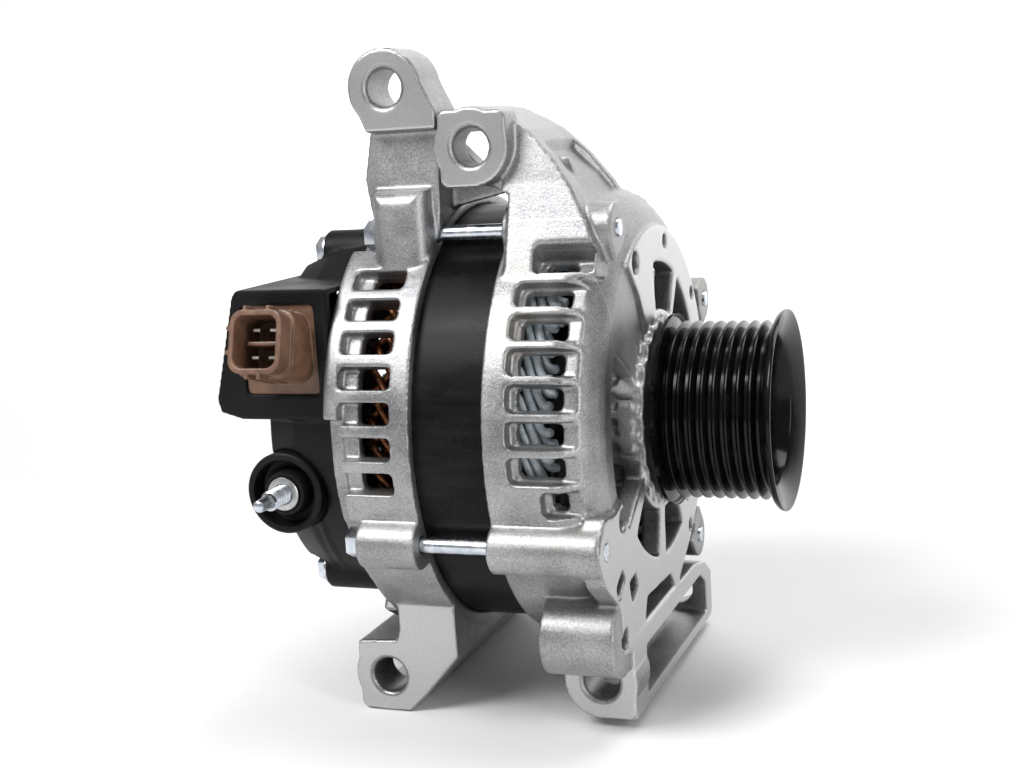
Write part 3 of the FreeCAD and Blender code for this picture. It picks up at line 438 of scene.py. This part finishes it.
def cast_aluminium():
    look = Look("cast_aluminium", (0.42, 0.425, 0.43), 0.42, 0.92)
    grain = look.noise(0.55, 4.0, 0.7)
    sand = look.noise(1.6, 3.0, 0.6)
    patches = look.noise(16.0, 3.0, 0.55)
    stains = look.noise(34.0, 4.0, 0.6)
    pits = look.span(look.cells(1.9), 0.02, 0.16)
    rough = look.span(patches, 0.3, 0.7, 0.36, 0.50) + (grain - 0.5) * 0.22
    tone = look.ramp(grain * 0.6 + patches * 0.4, (0.34, (0.15, 0.152, 0.157)),
                     (0.5, (0.31, 0.313, 0.318)), (0.66, (0.50, 0.50, 0.50)))
    tone = look.mix(look.span(stains, 0.54, 0.68) * 0.4, tone, (0.36, 0.335, 0.30))
    tone = look.mix((1.0 - pits) * 0.45, tone, (0.12, 0.12, 0.125))
    height = grain * 0.5 + sand * 0.5 + pits * 0.25
    distance, rings = ear_rings(look, 0.42)
    cut = (look.y < (EAR_FACE_Y + CUT_DEPTH) * MM) * (look.y > (EAR_FACE_Y - CUT_DEPTH) * MM)
    plateau = (look.x > FRONT_PLATEAU[0] * MM) * (look.x < FRONT_PLATEAU[1] * MM)
    flat = cut.most(plateau)
    shade = look.noise(0.35, 2.0, 0.5)
    cut_tone = look.mix(shade, (0.40, 0.403, 0.41), (0.60, 0.60, 0.605))
    # Painted shade: a thin dark ring on the chamfer round each ear bore. This mask is zero on the ring and
    # one clear of it, and the machined tone darkens by its inverse.
    chamfer_shade_falloff = look.span((distance - EAR_SHADE_RING_R * MM).size(), 0.0, 0.35 * MM)
    cut_tone = look.mix((1.0 - chamfer_shade_falloff) * 0.6, cut_tone, (0.12, 0.12, 0.125))
    relief = look.bump(height * (1.0 - flat) + (rings * 0.05 + 0.4) * cut, 0.13, 0.85)
    return look.set(Base_Color=look.mix(flat, tone, cut_tone),
                    Roughness=rough * (1.0 - flat) + flat * (0.30 + shade * 0.1), Normal=relief)


def pulley_black():
    look = Look("pulley_black", (0.003, 0.003, 0.0035), 0.16, 0.0, Specular_IOR_Level=0.2)
    peel = look.noise(2.4, 2.0, 0.4)
    dust = look.noise(0.5, 3.0, 0.65)
    worn = look.noise(7.0, 3.0, 0.6)
    colour = look.ramp(worn * 0.6 + dust * 0.4, (0.45, (0.002, 0.002, 0.0023)),
                       (0.72, (0.009, 0.009, 0.0095)))
    return look.set(Base_Color=colour, Roughness=look.span(worn, 0.3, 0.75, 0.11, 0.24),
                    Normal=look.bump(peel * 0.8 + dust * 0.2, 0.02, 0.35))


def black_laminations():
    look = Look("black_laminations", (0.012, 0.012, 0.013), 0.42, 0.0, Specular_IOR_Level=0.1)
    sheets = (look.x * (math.tau / (0.5 * MM))).wave()
    smear = look.noise(9.0, 4.0, 0.6, (0.25, 1.0, 1.0))
    fine = look.noise(0.8, 3.0, 0.6)
    edge = look.span((look.x - 0.5 * (STACK_BACK + STACK_FRONT) * MM).size(), 10.0 * MM, 12.5 * MM)
    rust = look.span(look.noise(3.0, 4.0, 0.7, (0.6, 1.0, 1.0)), 0.52, 0.66) * edge
    colour = look.ramp(smear * 0.7 + fine * 0.3, (0.38, (0.003, 0.003, 0.0035)),
                       (0.70, (0.015, 0.015, 0.016)))
    colour = look.mix(rust * 0.55, colour, (0.075, 0.028, 0.016))
    return look.set(Base_Color=colour, Roughness=look.span(smear, 0.3, 0.7, 0.27, 0.46),
                    Normal=look.bump(sheets * 0.35 + fine * 0.5, 0.03, 0.55))


def black_plastic():
    look = Look("black_plastic", (0.010, 0.010, 0.0105), 0.42, 0.0, Specular_IOR_Level=0.16)
    grain = look.noise(0.45, 3.0, 0.6)
    flow = look.noise(14.0, 3.0, 0.5)
    colour = look.ramp(grain * 0.4 + flow * 0.6, (0.36, (0.003, 0.003, 0.0033)),
                       (0.66, (0.009, 0.009, 0.0095)))
    return look.set(Base_Color=colour, Roughness=look.span(flow, 0.3, 0.7, 0.34, 0.52) + grain * 0.05,
                    Normal=look.bump(grain, 0.03, 0.5))


def brown_plastic():
    look = Look("brown_plastic", (0.085, 0.04, 0.03), 0.40, 0.0)
    grain = look.noise(0.35, 3.0, 0.6)
    flow = look.noise(5.0, 4.0, 0.6)
    dust = look.span(look.noise(1.2, 4.0, 0.7), 0.55, 0.75)
    colour = look.ramp(flow * 0.7 + grain * 0.3, (0.34, (0.085, 0.041, 0.024)), (0.68, (0.20, 0.108, 0.066)))
    colour = look.mix(dust * 0.22, colour, (0.26, 0.20, 0.18))
    return look.set(Base_Color=colour, Roughness=look.span(flow, 0.3, 0.7, 0.30, 0.48),
                    Normal=look.bump(grain * 0.7 + flow * 0.3, 0.03, 0.5))


def zinc_steel():
    look = Look("zinc_steel", (0.60, 0.64, 0.70), 0.24, 1.0)
    drawn = look.noise(0.5, 3.0, 0.6, (0.08, 1.0, 1.0))
    cloud = look.noise(3.0, 3.0, 0.6)
    colour = look.ramp(cloud, (0.35, (0.46, 0.52, 0.60)), (0.65, (0.74, 0.75, 0.77)))
    return look.set(Base_Color=colour, Roughness=look.span(cloud, 0.3, 0.7, 0.17, 0.33),
                    Normal=look.bump(drawn, 0.015, 0.5))


def steel(name, dark, light, low, high, metallic=1.0):
    look = Look(name, light, low, metallic)
    turned_marks = look.noise(0.4, 3.0, 0.6, (1.0, 0.25, 0.25))
    cloud = look.noise(4.0, 4.0, 0.6)
    colour = look.ramp(cloud * 0.6 + turned_marks * 0.4, (0.34, dark), (0.68, light))
    return look.set(Base_Color=colour, Roughness=look.span(cloud, 0.3, 0.7, low, high),
                    Normal=look.bump(turned_marks, 0.02, 0.5))


def coated_wire():
    look = Look("coated_wire", (0.50, 0.56, 0.61), 0.30, 0.0, Coat_Weight=0.35, Coat_Roughness=0.12)
    drips = look.noise(2.2, 3.0, 0.55)
    fine = look.noise(0.6, 3.0, 0.6)
    colour = look.ramp(drips * 0.75 + fine * 0.25, (0.34, (0.46, 0.54, 0.60)), (0.52, (0.66, 0.73, 0.78)),
                       (0.70, (0.84, 0.88, 0.90)))
    return look.set(Base_Color=colour, Roughness=look.span(drips, 0.3, 0.7, 0.22, 0.40),
                    Normal=look.bump(drips, 0.12, 0.5))


def copper_wire():
    look = Look("copper_wire", (0.55, 0.24, 0.12), 0.28, 0.85)
    cloud = look.noise(2.5, 4.0, 0.6)
    fine = look.noise(0.5, 3.0, 0.6)
    colour = look.ramp(cloud * 0.7 + fine * 0.3, (0.34, (0.12, 0.040, 0.018)), (0.66, (0.46, 0.19, 0.09)))
    return look.set(Base_Color=colour, Roughness=look.span(cloud, 0.3, 0.7, 0.22, 0.42),
                    Normal=look.bump(fine, 0.03, 0.5))


def studio_floor():
    look = Look("studio_floor", (0.78, 0.78, 0.78), 0.75, 0.0)
    cloud = look.noise(180.0, 2.0, 0.5)
    return look.set(Base_Color=look.ramp(cloud, (0.3, (0.77, 0.77, 0.773)), (0.7, (0.79, 0.79, 0.792))))


LOOKS = {}


def finish_of(slot):
    """The material of one of the record's slots, made once."""
    makers = {
        "cast_aluminium": cast_aluminium,
        "pulley_black": pulley_black,
        "black_laminations": black_laminations,
        "black_plastic": black_plastic,
        "brown_plastic": brown_plastic,
        "zinc_steel": zinc_steel,
        "coated_wire": coated_wire,
        "copper_wire": copper_wire,
        "ground_steel": lambda: steel("ground_steel", (0.45,) * 3, (0.68,) * 3, 0.16, 0.30),
        "pressed_steel": lambda: steel("pressed_steel", (0.045,) * 3, (0.12,) * 3, 0.34, 0.52),
        "forged_iron": lambda: steel("forged_iron", (0.010,) * 3, (0.032, 0.030, 0.029), 0.45, 0.65, 0.4),
        "plate_aluminium": lambda: steel("plate_aluminium", (0.34,) * 3, (0.56,) * 3, 0.28, 0.42),
        "tinned_copper": lambda: steel("tinned_copper", (0.52, 0.46, 0.36), (0.76, 0.72, 0.62), 0.18, 0.30),
        "seal_rubber": lambda: steel("seal_rubber", (0.010,) * 3, (0.024,) * 3, 0.55, 0.70, 0.0),
        "carbon": lambda: steel("carbon", (0.018,) * 3, (0.045,) * 3, 0.45, 0.60, 0.2),
        "studio_floor": studio_floor,
    }
    if slot not in LOOKS:
        LOOKS[slot] = makers[slot]()
    return LOOKS[slot]


def dress(piece, slot, body, *nodes):
    """Gives a finished piece its material, its body and the CAD nodes it stands for."""
    piece.data.materials.clear()
    piece.data.materials.append(finish_of(slot))
    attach(piece, body)
    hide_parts(*nodes)
    return piece


# ---------------------------------------------------------------- sizes a user may change
class CastingSizes(bpy.types.PropertyGroup):
    voxel: bpy.props.FloatProperty(
        name="Skin detail", description="Finest detail kept on the cast skins, in millimetres",
        default=0.62, min=0.3, max=2.0)
    soften: bpy.props.IntProperty(
        name="Edge softening", description="How far the cast edges are rounded", default=4, min=0, max=12)
    faces: bpy.props.IntProperty(
        name="Most triangles", description="Upper limit of triangles on one casting",
        default=185000, min=20000, max=199000)


class PulleySizes(bpy.types.PropertyGroup):
    steps: bpy.props.IntProperty(
        name="Steps round", description="Number of faces round the pulley", default=144, min=48, max=256)
    groove_depth: bpy.props.FloatProperty(
        name="Groove depth", description="Depth of the belt grooves", default=2.6 * MM,
        min=1.0 * MM, max=3.2 * MM, subtype="DISTANCE", unit="LENGTH")


class WindingSizes(bpy.types.PropertyGroup):
    wire_radius: bpy.props.FloatProperty(
        name="Bar radius", description="Radius of a coated winding bar", default=1.28 * MM,
        min=0.8 * MM, max=1.6 * MM, subtype="DISTANCE", unit="LENGTH")
    front_sweep: bpy.props.FloatProperty(
        name="Front sweep", description="How far a bar turns round the stator before its tip",
        default=math.radians(18.0), min=0.1, max=0.6, subtype="ANGLE", unit="ROTATION")


class StudioSizes(bpy.types.PropertyGroup):
    key_power: bpy.props.FloatProperty(
        name="Key light", description="Power of the main soft light, in watts", default=9.5, min=0.0)
    fill_power: bpy.props.FloatProperty(
        name="Fill light", description="Power of the side light, in watts", default=4.5, min=0.0)
    wall_power: bpy.props.FloatProperty(
        name="Wall light", description="Power of the light on the wall behind, in watts",
        default=90.0, min=0.0)
    backdrop: bpy.props.FloatVectorProperty(
        name="Backdrop colour", description="Colour of the studio surround", default=(0.9, 0.9, 0.9),
        size=3, subtype="COLOR", min=0.0, max=1.0)


# ---------------------------------------------------------------- operators
def on_ear_face(point):
    """True for a point of a machined face round one of the ear bores."""
    if not EAR_FACE_Y - 0.4 < point.y < EAR_FACE_Y + CUT_DEPTH:
        return False
    return any(math.hypot(point.x - x, point.z - z) < EAR_FACE_REACH for x, z in EARS)


class ALTERNATOR_OT_castings(bpy.types.Operator):
    """Make the two cast brackets with rounded edges and machined ear faces"""

    bl_idname = "alternator.castings"
    bl_label = "Cast brackets"

    def execute(self, context):
        sizes = context.scene.alternator_casting
        for name, node in (("front_casting", "front_bracket"), ("rear_casting", "rear_bracket")):
            piece = moulded(name, [node], sizes.voxel, sizes.soften, sizes.faces)
            edit(piece)
            if select_points(piece, on_ear_face):
                bpy.ops.transform.resize(value=(1, 0, 1), center_override=(0, EAR_FACE_Y * MM, 0))
            leave_edit()
            settle(piece, 38.0)
            dress(piece, "cast_aluminium", "housing", node)
        return {"FINISHED"}


class ALTERNATOR_OT_pulley(bpy.types.Operator):
    """Turn the ribbed belt pulley"""

    bl_idname = "alternator.pulley"
    bl_label = "Pulley"

    def execute(self, context):
        sizes = context.scene.alternator_pulley
        root = CREST_R - sizes.groove_depth / MM
        half = RIB_COUNT * RIB_PITCH / 2.0
        outline = [(-17.4, 8.6), (-17.4, 26.6), (-17.1, 28.3), (-16.5, 29.3), (-15.7, 29.85), (-15.3, 29.9)]
        outline += [(-half - 0.55, 29.7), (-half - 0.25, 29.4), (-half + 0.05, 28.2)]
        for i in range(RIB_COUNT):
            middle = -half + RIB_PITCH * (i + 0.5)
            if i:
                outline += [(middle - 1.78, CREST_R), (middle - 1.50, 27.42), (middle - 1.30, 27.1)]
            outline += [(middle - 0.62, root + 0.30), (middle - 0.40, root)]
            outline += [(middle + 0.40, root), (middle + 0.62, root + 0.30)]
            if i < RIB_COUNT - 1:
                outline += [(middle + 1.30, 27.1), (middle + 1.50, 27.42)]
        outline += [(half - 0.2, 27.4), (half + 0.25, 28.5), (half + 0.7, 29.6), (half + 1.3, 30.3)]
        outline += [(18.0, 30.75), (18.6, 30.85), (19.0, 30.7), (19.05, 30.4), (18.9, 29.9)]
        outline += [(17.8, 27.2), (16.4, 24.4), (15.6, 23.2), (15.0, 22.85), (6.0, 22.45), (-2.0, 22.0)]
        outline += [(-3.6, 21.6), (-5.2, 20.2), (-5.9, 18.6), (-6.0, 17.5), (-6.0, 15.2), (-5.4, 14.2)]
        outline += [(-3.9, 13.7), (-3.5, 13.3), (-3.5, 8.6), (-17.4, 8.6)]
        piece = turned("pulley_wheel", outline, sizes.steps)
        settle(piece, 50.0)
        dress(piece, "pulley_black", "rotor", "pulley")
        return {"FINISHED"}


class ALTERNATOR_OT_windings(bpy.types.Operator):
    """Bend the coated winding bars of both winding heads"""

    bl_idname = "alternator.windings"
    bl_label = "Winding heads"

    def bar(self, name, layers, radius):
        """One bar from (x, angle, distance from the shaft, thickness) stations."""
        points, widths = [], []
        for x, angle, away, share in layers:
            turn = math.radians(angle)
            points.append((x, away * math.cos(turn), away * math.sin(turn)))
            widths.append(radius * share)
        return rod(name, points, widths, 2, 3)

    def execute(self, context):
        sizes = context.scene.alternator_winding
        radius = sizes.wire_radius / MM
        sweep = math.degrees(sizes.front_sweep)
        front, back = STACK_FRONT, STACK_BACK
        outer = [(front - 1.0, 0.0, 58.4, 1.0), (front + 0.6, 0.0, 58.4, 1.0), (front + 1.6, 0.4, 58.5, 1.0)]
        outer += [(front + 2.6, sweep * 0.10, 58.6, 1.0), (front + 7.4, sweep * 0.80, 58.6, 1.0)]
        outer += [(front + 8.6, sweep * 0.93, 58.5, 1.0), (front + 9.6, sweep, 58.2, 1.06)]
        outer += [(front + 11.0, sweep, 57.9, 1.12), (front + 11.9, sweep, 57.6, 0.92)]
        outer += [(front + 12.1, sweep, 57.6, 0.35)]
        inner = [(x, angle + 180.0 / SLOTS, away - 3.6, share) for x, angle, away, share in outer]
        rear_route = [(back + 1.0, 0.0, 58.4), (back - 0.8, 0.0, 58.4), (back - 1.8, -0.5, 58.5)]
        rear_route += [(back - 2.6, -1.8, 58.6), (back - 9.0, -11.8, 58.5), (back - 11.6, -14.6, 57.9)]
        rear_route += [(back - 12.6, -15.4, 56.6), (back - 11.8, -16.2, 55.2), (back - 9.0, -19.0, 54.7)]
        rear_route += [(back - 2.6, -29.0, 54.6), (back - 0.8, -30.0, 54.7), (back + 1.0, -30.0, 54.7)]
        rear = [(*station, 0.92) for station in rear_route]
        pitch = 360.0 / SLOTS
        heads = (("front_winding_head", (outer, inner), "coated_wire"),
                 ("rear_winding_head", (rear,), "copper_wire"))
        for name, layers, slot in heads:
            bars = []
            for layer in layers:
                first = self.bar("bar", layer, radius)
                bars.append(first)
                bars += [copy_of(first, round_shaft(pitch * i)) for i in range(1, SLOTS)]
            piece = joined(name, bars)
            settle(piece, 60.0)
            dress(piece, slot, "housing", "stator_winding")
        return {"FINISHED"}


class ALTERNATOR_OT_cover(bpy.types.Operator):
    """Mould the plastic rear cover and the plug socket"""

    bl_idname = "alternator.cover"
    bl_label = "Rear cover and socket"

    def execute(self, context):
        piece = moulded("moulded_cover", ["rear_cover"], 0.62, 3, 120000)
        settle(piece, 40.0)
        dress(piece, "black_plastic", "housing", "rear_cover")
        socket = moulded("plug_housing", ["connector_shell"], 0.26, 3, 80000)
        settle(socket, 40.0)
        dress(socket, "brown_plastic", "housing", "connector_shell")
        return {"FINISHED"}


class ALTERNATOR_OT_terminal(bpy.types.Operator):
    """Make the threaded output stud, its collar and its insulating skirt"""

    bl_idname = "alternator.terminal"
    bl_label = "Output terminal"

    def execute(self, context):
        tip, face = STUD_TIP_Y, COLLAR_FACE_Y
        core = [(-36.0, 0.0), (-36.0, 2.95), (face + 1.0, 2.95), (face + 0.2, 2.45), (tip + 6.3, 2.45)]
        core += [(tip + 5.7, 2.3), (tip + 4.9, 1.9), (tip + 1.0, 1.82), (tip + 0.5, 1.6)]
        core += [(tip + 0.15, 1.1), (tip, 0.0)]
        parts = [turned("stud_core", core, 40, "Y", STUD_AXIS)]
        ridge = [(0.0, 2.42), (0.36, 2.94), (0.5, 3.0), (0.64, 2.94), (1.0, 2.42)]
        deselect()
        start = Vector((STUD_AXIS[0], tip + 6.3, STUD_AXIS[1])) * MM
        bpy.ops.mesh.primitive_plane_add(size=MM, location=start)
        thread = bpy.context.object
        bpy.ops.object.mode_set(mode="EDIT")
        bpy.ops.mesh.merge(type="CENTER")
        bpy.ops.transform.translate(value=(ridge[0][1] * MM, 0, 0))
        for before, after in zip(ridge, ridge[1:]):
            step = ((after[1] - before[1]) * MM, (after[0] - before[0]) * THREAD_PITCH * MM, 0)
            bpy.ops.mesh.extrude_region_move(TRANSFORM_OT_translate={"value": step})
        leave_edit()
        apply_modifier(thread, "SCREW", axis="Y", angle=math.tau, screw_offset=THREAD_PITCH * MM,
                       iterations=9, steps=28, render_steps=28, use_merge_vertices=True,
                       merge_threshold=0.002 * MM)
        parts.append(thread)
        stud = joined("threaded_stud", parts)
        settle(stud, 30.0)
        dress(stud, "zinc_steel", "housing", "output_stud")
        collar = [(-44.0, 3.02), (-44.0, 5.15), (face + 0.35, 5.15), (face + 0.1, 4.95), (face, 4.6)]
        collar += [(face, 3.3), (face + 0.25, 3.02), (-44.0, 3.02)]
        ring = turned("terminal_collar", collar, 48, "Y", STUD_AXIS)
        dress(ring, "plate_aluminium", "housing", "stud_collar")
        skirt = [(-44.5, 5.25), (-44.5, 12.5), (-61.0, 12.55), (-61.6, 12.4), (-62.0, 11.9), (-62.0, 10.9)]
        skirt += [(-61.8, 10.4), (-61.2, 10.2), (-57.2, 10.1), (-56.5, 9.8), (-56.2, 9.2), (-56.2, 7.9)]
        skirt += [(-56.5, 7.3), (-57.2, 7.0), (-61.4, 6.8), (-61.9, 6.5), (-62.0, 6.1), (-61.9, 5.5)]
        skirt += [(-61.5, 5.25), (-44.5, 5.25)]
        boot = turned("terminal_skirt", skirt, 72, "Y", STUD_AXIS)
        dress(boot, "black_plastic", "housing", "stud_insulator")
        return {"FINISHED"}


class ALTERNATOR_OT_fasteners(bpy.types.Operator):
    """Chamfer the bolts, nuts and screws that show"""

    bl_idname = "alternator.fasteners"
    bl_label = "Fasteners"

    def execute(self, context):
        for name, node, body in (("housing_bolts", "through_bolts", "housing"),
                                 ("cover_nut_set", "cover_nuts", "housing"),
                                 ("cover_stud_set", "cover_studs", "housing"),
                                 ("shaft_nut", "pulley_nut", "rotor")):
            piece = chamfered(name, [node], 0.3, 2)
            dress(piece, "zinc_steel", body, node)
        return {"FINISHED"}


class ALTERNATOR_OT_brush_springs(bpy.types.Operator):
    """Make the two brush springs from their CAD solids, each with a mesh of its own"""

    bl_idname = "alternator.brush_springs"
    bl_label = "Brush springs"

    def execute(self, context):
        travel = {joint["name"]: joint.get("range_m", (0.0, 0.0))[1]
                  for joint in frame["record"]["behaviour"]["joints"]}
        for side in ("front", "rear"):
            node, joint = f"brush_spring_{side}", f"{side}_brush_slide"
            low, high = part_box(node)
            piece = from_cad(f"{side}_brush_coil", node)
            settle(piece, 40.0)
            dress(piece, "ground_steel", "housing", node)
            keep = 1.0 - travel[joint] / (high[1] - low[1])
            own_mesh(piece)
        return {"FINISHED"}


class ALTERNATOR_OT_finishes(bpy.types.Operator):
    """Give every CAD piece that stays its finish"""

    bl_idname = "alternator.finishes"
    bl_label = "Finishes"

    def execute(self, context):
        slots = {entry["node"]: entry["material_slot"] for entry in frame["record"]["subparts"]}
        for node, piece in NODES.items():
            if not piece.hide_render:
                look = finish_of(slots[node])
                if piece.data.materials:
                    for i in range(len(piece.data.materials)):
                        piece.data.materials[i] = look
                else:
                    piece.data.materials.append(look)
        return {"FINISHED"}


class ALTERNATOR_OT_stage(bpy.types.Operator):
    """Set up the pale floor, the soft lights and the camera"""

    bl_idname = "alternator.stage"
    bl_label = "Studio"

    def light(self, name, place, power, size, size_y, aim=(-0.06, 0.0, 0.0)):
        deselect()
        bpy.ops.object.light_add(type="AREA", location=place)
        lamp = bpy.context.object
        lamp.name = name
        lamp.data.energy = power
        lamp.data.shape = "RECTANGLE"
        lamp.data.size = size
        lamp.data.size_y = size_y
        lamp.rotation_euler = (Vector(aim) - Vector(place)).to_track_quat("-Z", "Y").to_euler()
        return lamp

    def execute(self, context):
        sizes = context.scene.alternator_studio
        scene = context.scene
        low = CAD_BOX[0][2]
        deselect()
        bpy.ops.mesh.primitive_plane_add(size=1.0, location=(0, 0, low))
        floor = bpy.context.object
        floor.name = "floor"
        bpy.ops.object.mode_set(mode="EDIT")
        bpy.ops.transform.resize(value=(9.0, 5.0, 1.0))
        leave_edit()
        edit(floor)
        select_points(floor, lambda p: p.y > 0.0)
        bpy.ops.mesh.extrude_region_move(TRANSFORM_OT_translate={"value": (0, 0, WALL_HEIGHT)})
        leave_edit()
        apply_modifier(floor, "BEVEL", width=1.4, segments=24, limit_method="ANGLE",
                       angle_limit=math.radians(30))
        settle(floor, 60.0)
        floor.data.materials.append(finish_of("studio_floor"))

        self.light("key", (-0.45, -0.60, 0.75), sizes.key_power, 0.45, 0.45)
        self.light("side", (0.80, -0.50, 0.20), sizes.fill_power, 0.16, 0.9)
        self.light("top", (0.10, 0.15, 0.90), sizes.key_power * 0.48, 0.6, 0.4)
        self.light("wall", (0.0, 0.9, 1.6), sizes.wall_power, 3.0, 1.2, (0.0, 2.4, 1.0))
        world = bpy.data.worlds.new("surround")
        scene.world = world
        world.use_nodes = True
        ground = world.node_tree.nodes["Background"]
        ground.inputs[0].default_value = (*sizes.backdrop, 1.0)
        ground.inputs[1].default_value = 0.40

        deselect()
        bpy.ops.object.camera_add(location=CAMERA_PLACE)
        camera = bpy.context.object
        camera.name = "camera"
        turn = Matrix((CAMERA_RIGHT, CAMERA_UP, CAMERA_BACK)).transposed()
        camera.rotation_euler = turn.to_euler()
        camera.data.lens = CAMERA_LENS
        camera.data.sensor_width = 36.0
        camera.data.clip_start = 0.01
        camera.data.clip_end = 50.0
        scene.camera = camera
        scene.view_settings.view_transform = "Standard"
        return {"FINISHED"}


# ---------------------------------------------------------------- panel and registration
PIECES = (ALTERNATOR_OT_castings, ALTERNATOR_OT_pulley, ALTERNATOR_OT_windings, ALTERNATOR_OT_cover,
          ALTERNATOR_OT_terminal, ALTERNATOR_OT_fasteners, ALTERNATOR_OT_brush_springs,
          ALTERNATOR_OT_finishes, ALTERNATOR_OT_stage)
SIZES = (("alternator_casting", CastingSizes), ("alternator_pulley", PulleySizes),
         ("alternator_winding", WindingSizes), ("alternator_studio", StudioSizes))


class ALTERNATOR_PT_panel(bpy.types.Panel):
    """Lists the sizes and the pieces of the alternator"""

    bl_idname = "ALTERNATOR_PT_panel"
    bl_label = "Alternator"
    bl_space_type = "VIEW_3D"
    bl_region_type = "UI"
    bl_category = "Alternator"

    def draw(self, context):
        column = self.layout.column()
        for name, group in SIZES:
            for key in group.__annotations__:
                column.prop(getattr(context.scene, name), key)
        for piece in PIECES:
            column.operator(piece.bl_idname)


def register():
    for name, group in SIZES:
        bpy.utils.register_class(group)
        setattr(bpy.types.Scene, name, bpy.props.PointerProperty(type=group))
    for piece in PIECES:
        bpy.utils.register_class(piece)
    bpy.utils.register_class(ALTERNATOR_PT_panel)


def unregister():
    bpy.utils.unregister_class(ALTERNATOR_PT_panel)
    for piece in reversed(PIECES):
        bpy.utils.unregister_class(piece)
    for name, group in reversed(SIZES):
        delattr(bpy.types.Scene, name)
        bpy.utils.unregister_class(group)


def main():
    register()
    bpy.ops.alternator.castings()
    bpy.ops.alternator.pulley()
    bpy.ops.alternator.windings()
    bpy.ops.alternator.cover()
    bpy.ops.alternator.terminal()
    bpy.ops.alternator.fasteners()
    bpy.ops.alternator.brush_springs()
    bpy.ops.alternator.finishes()
    bpy.ops.alternator.stage()


if __name__ == "__main__":
    main()
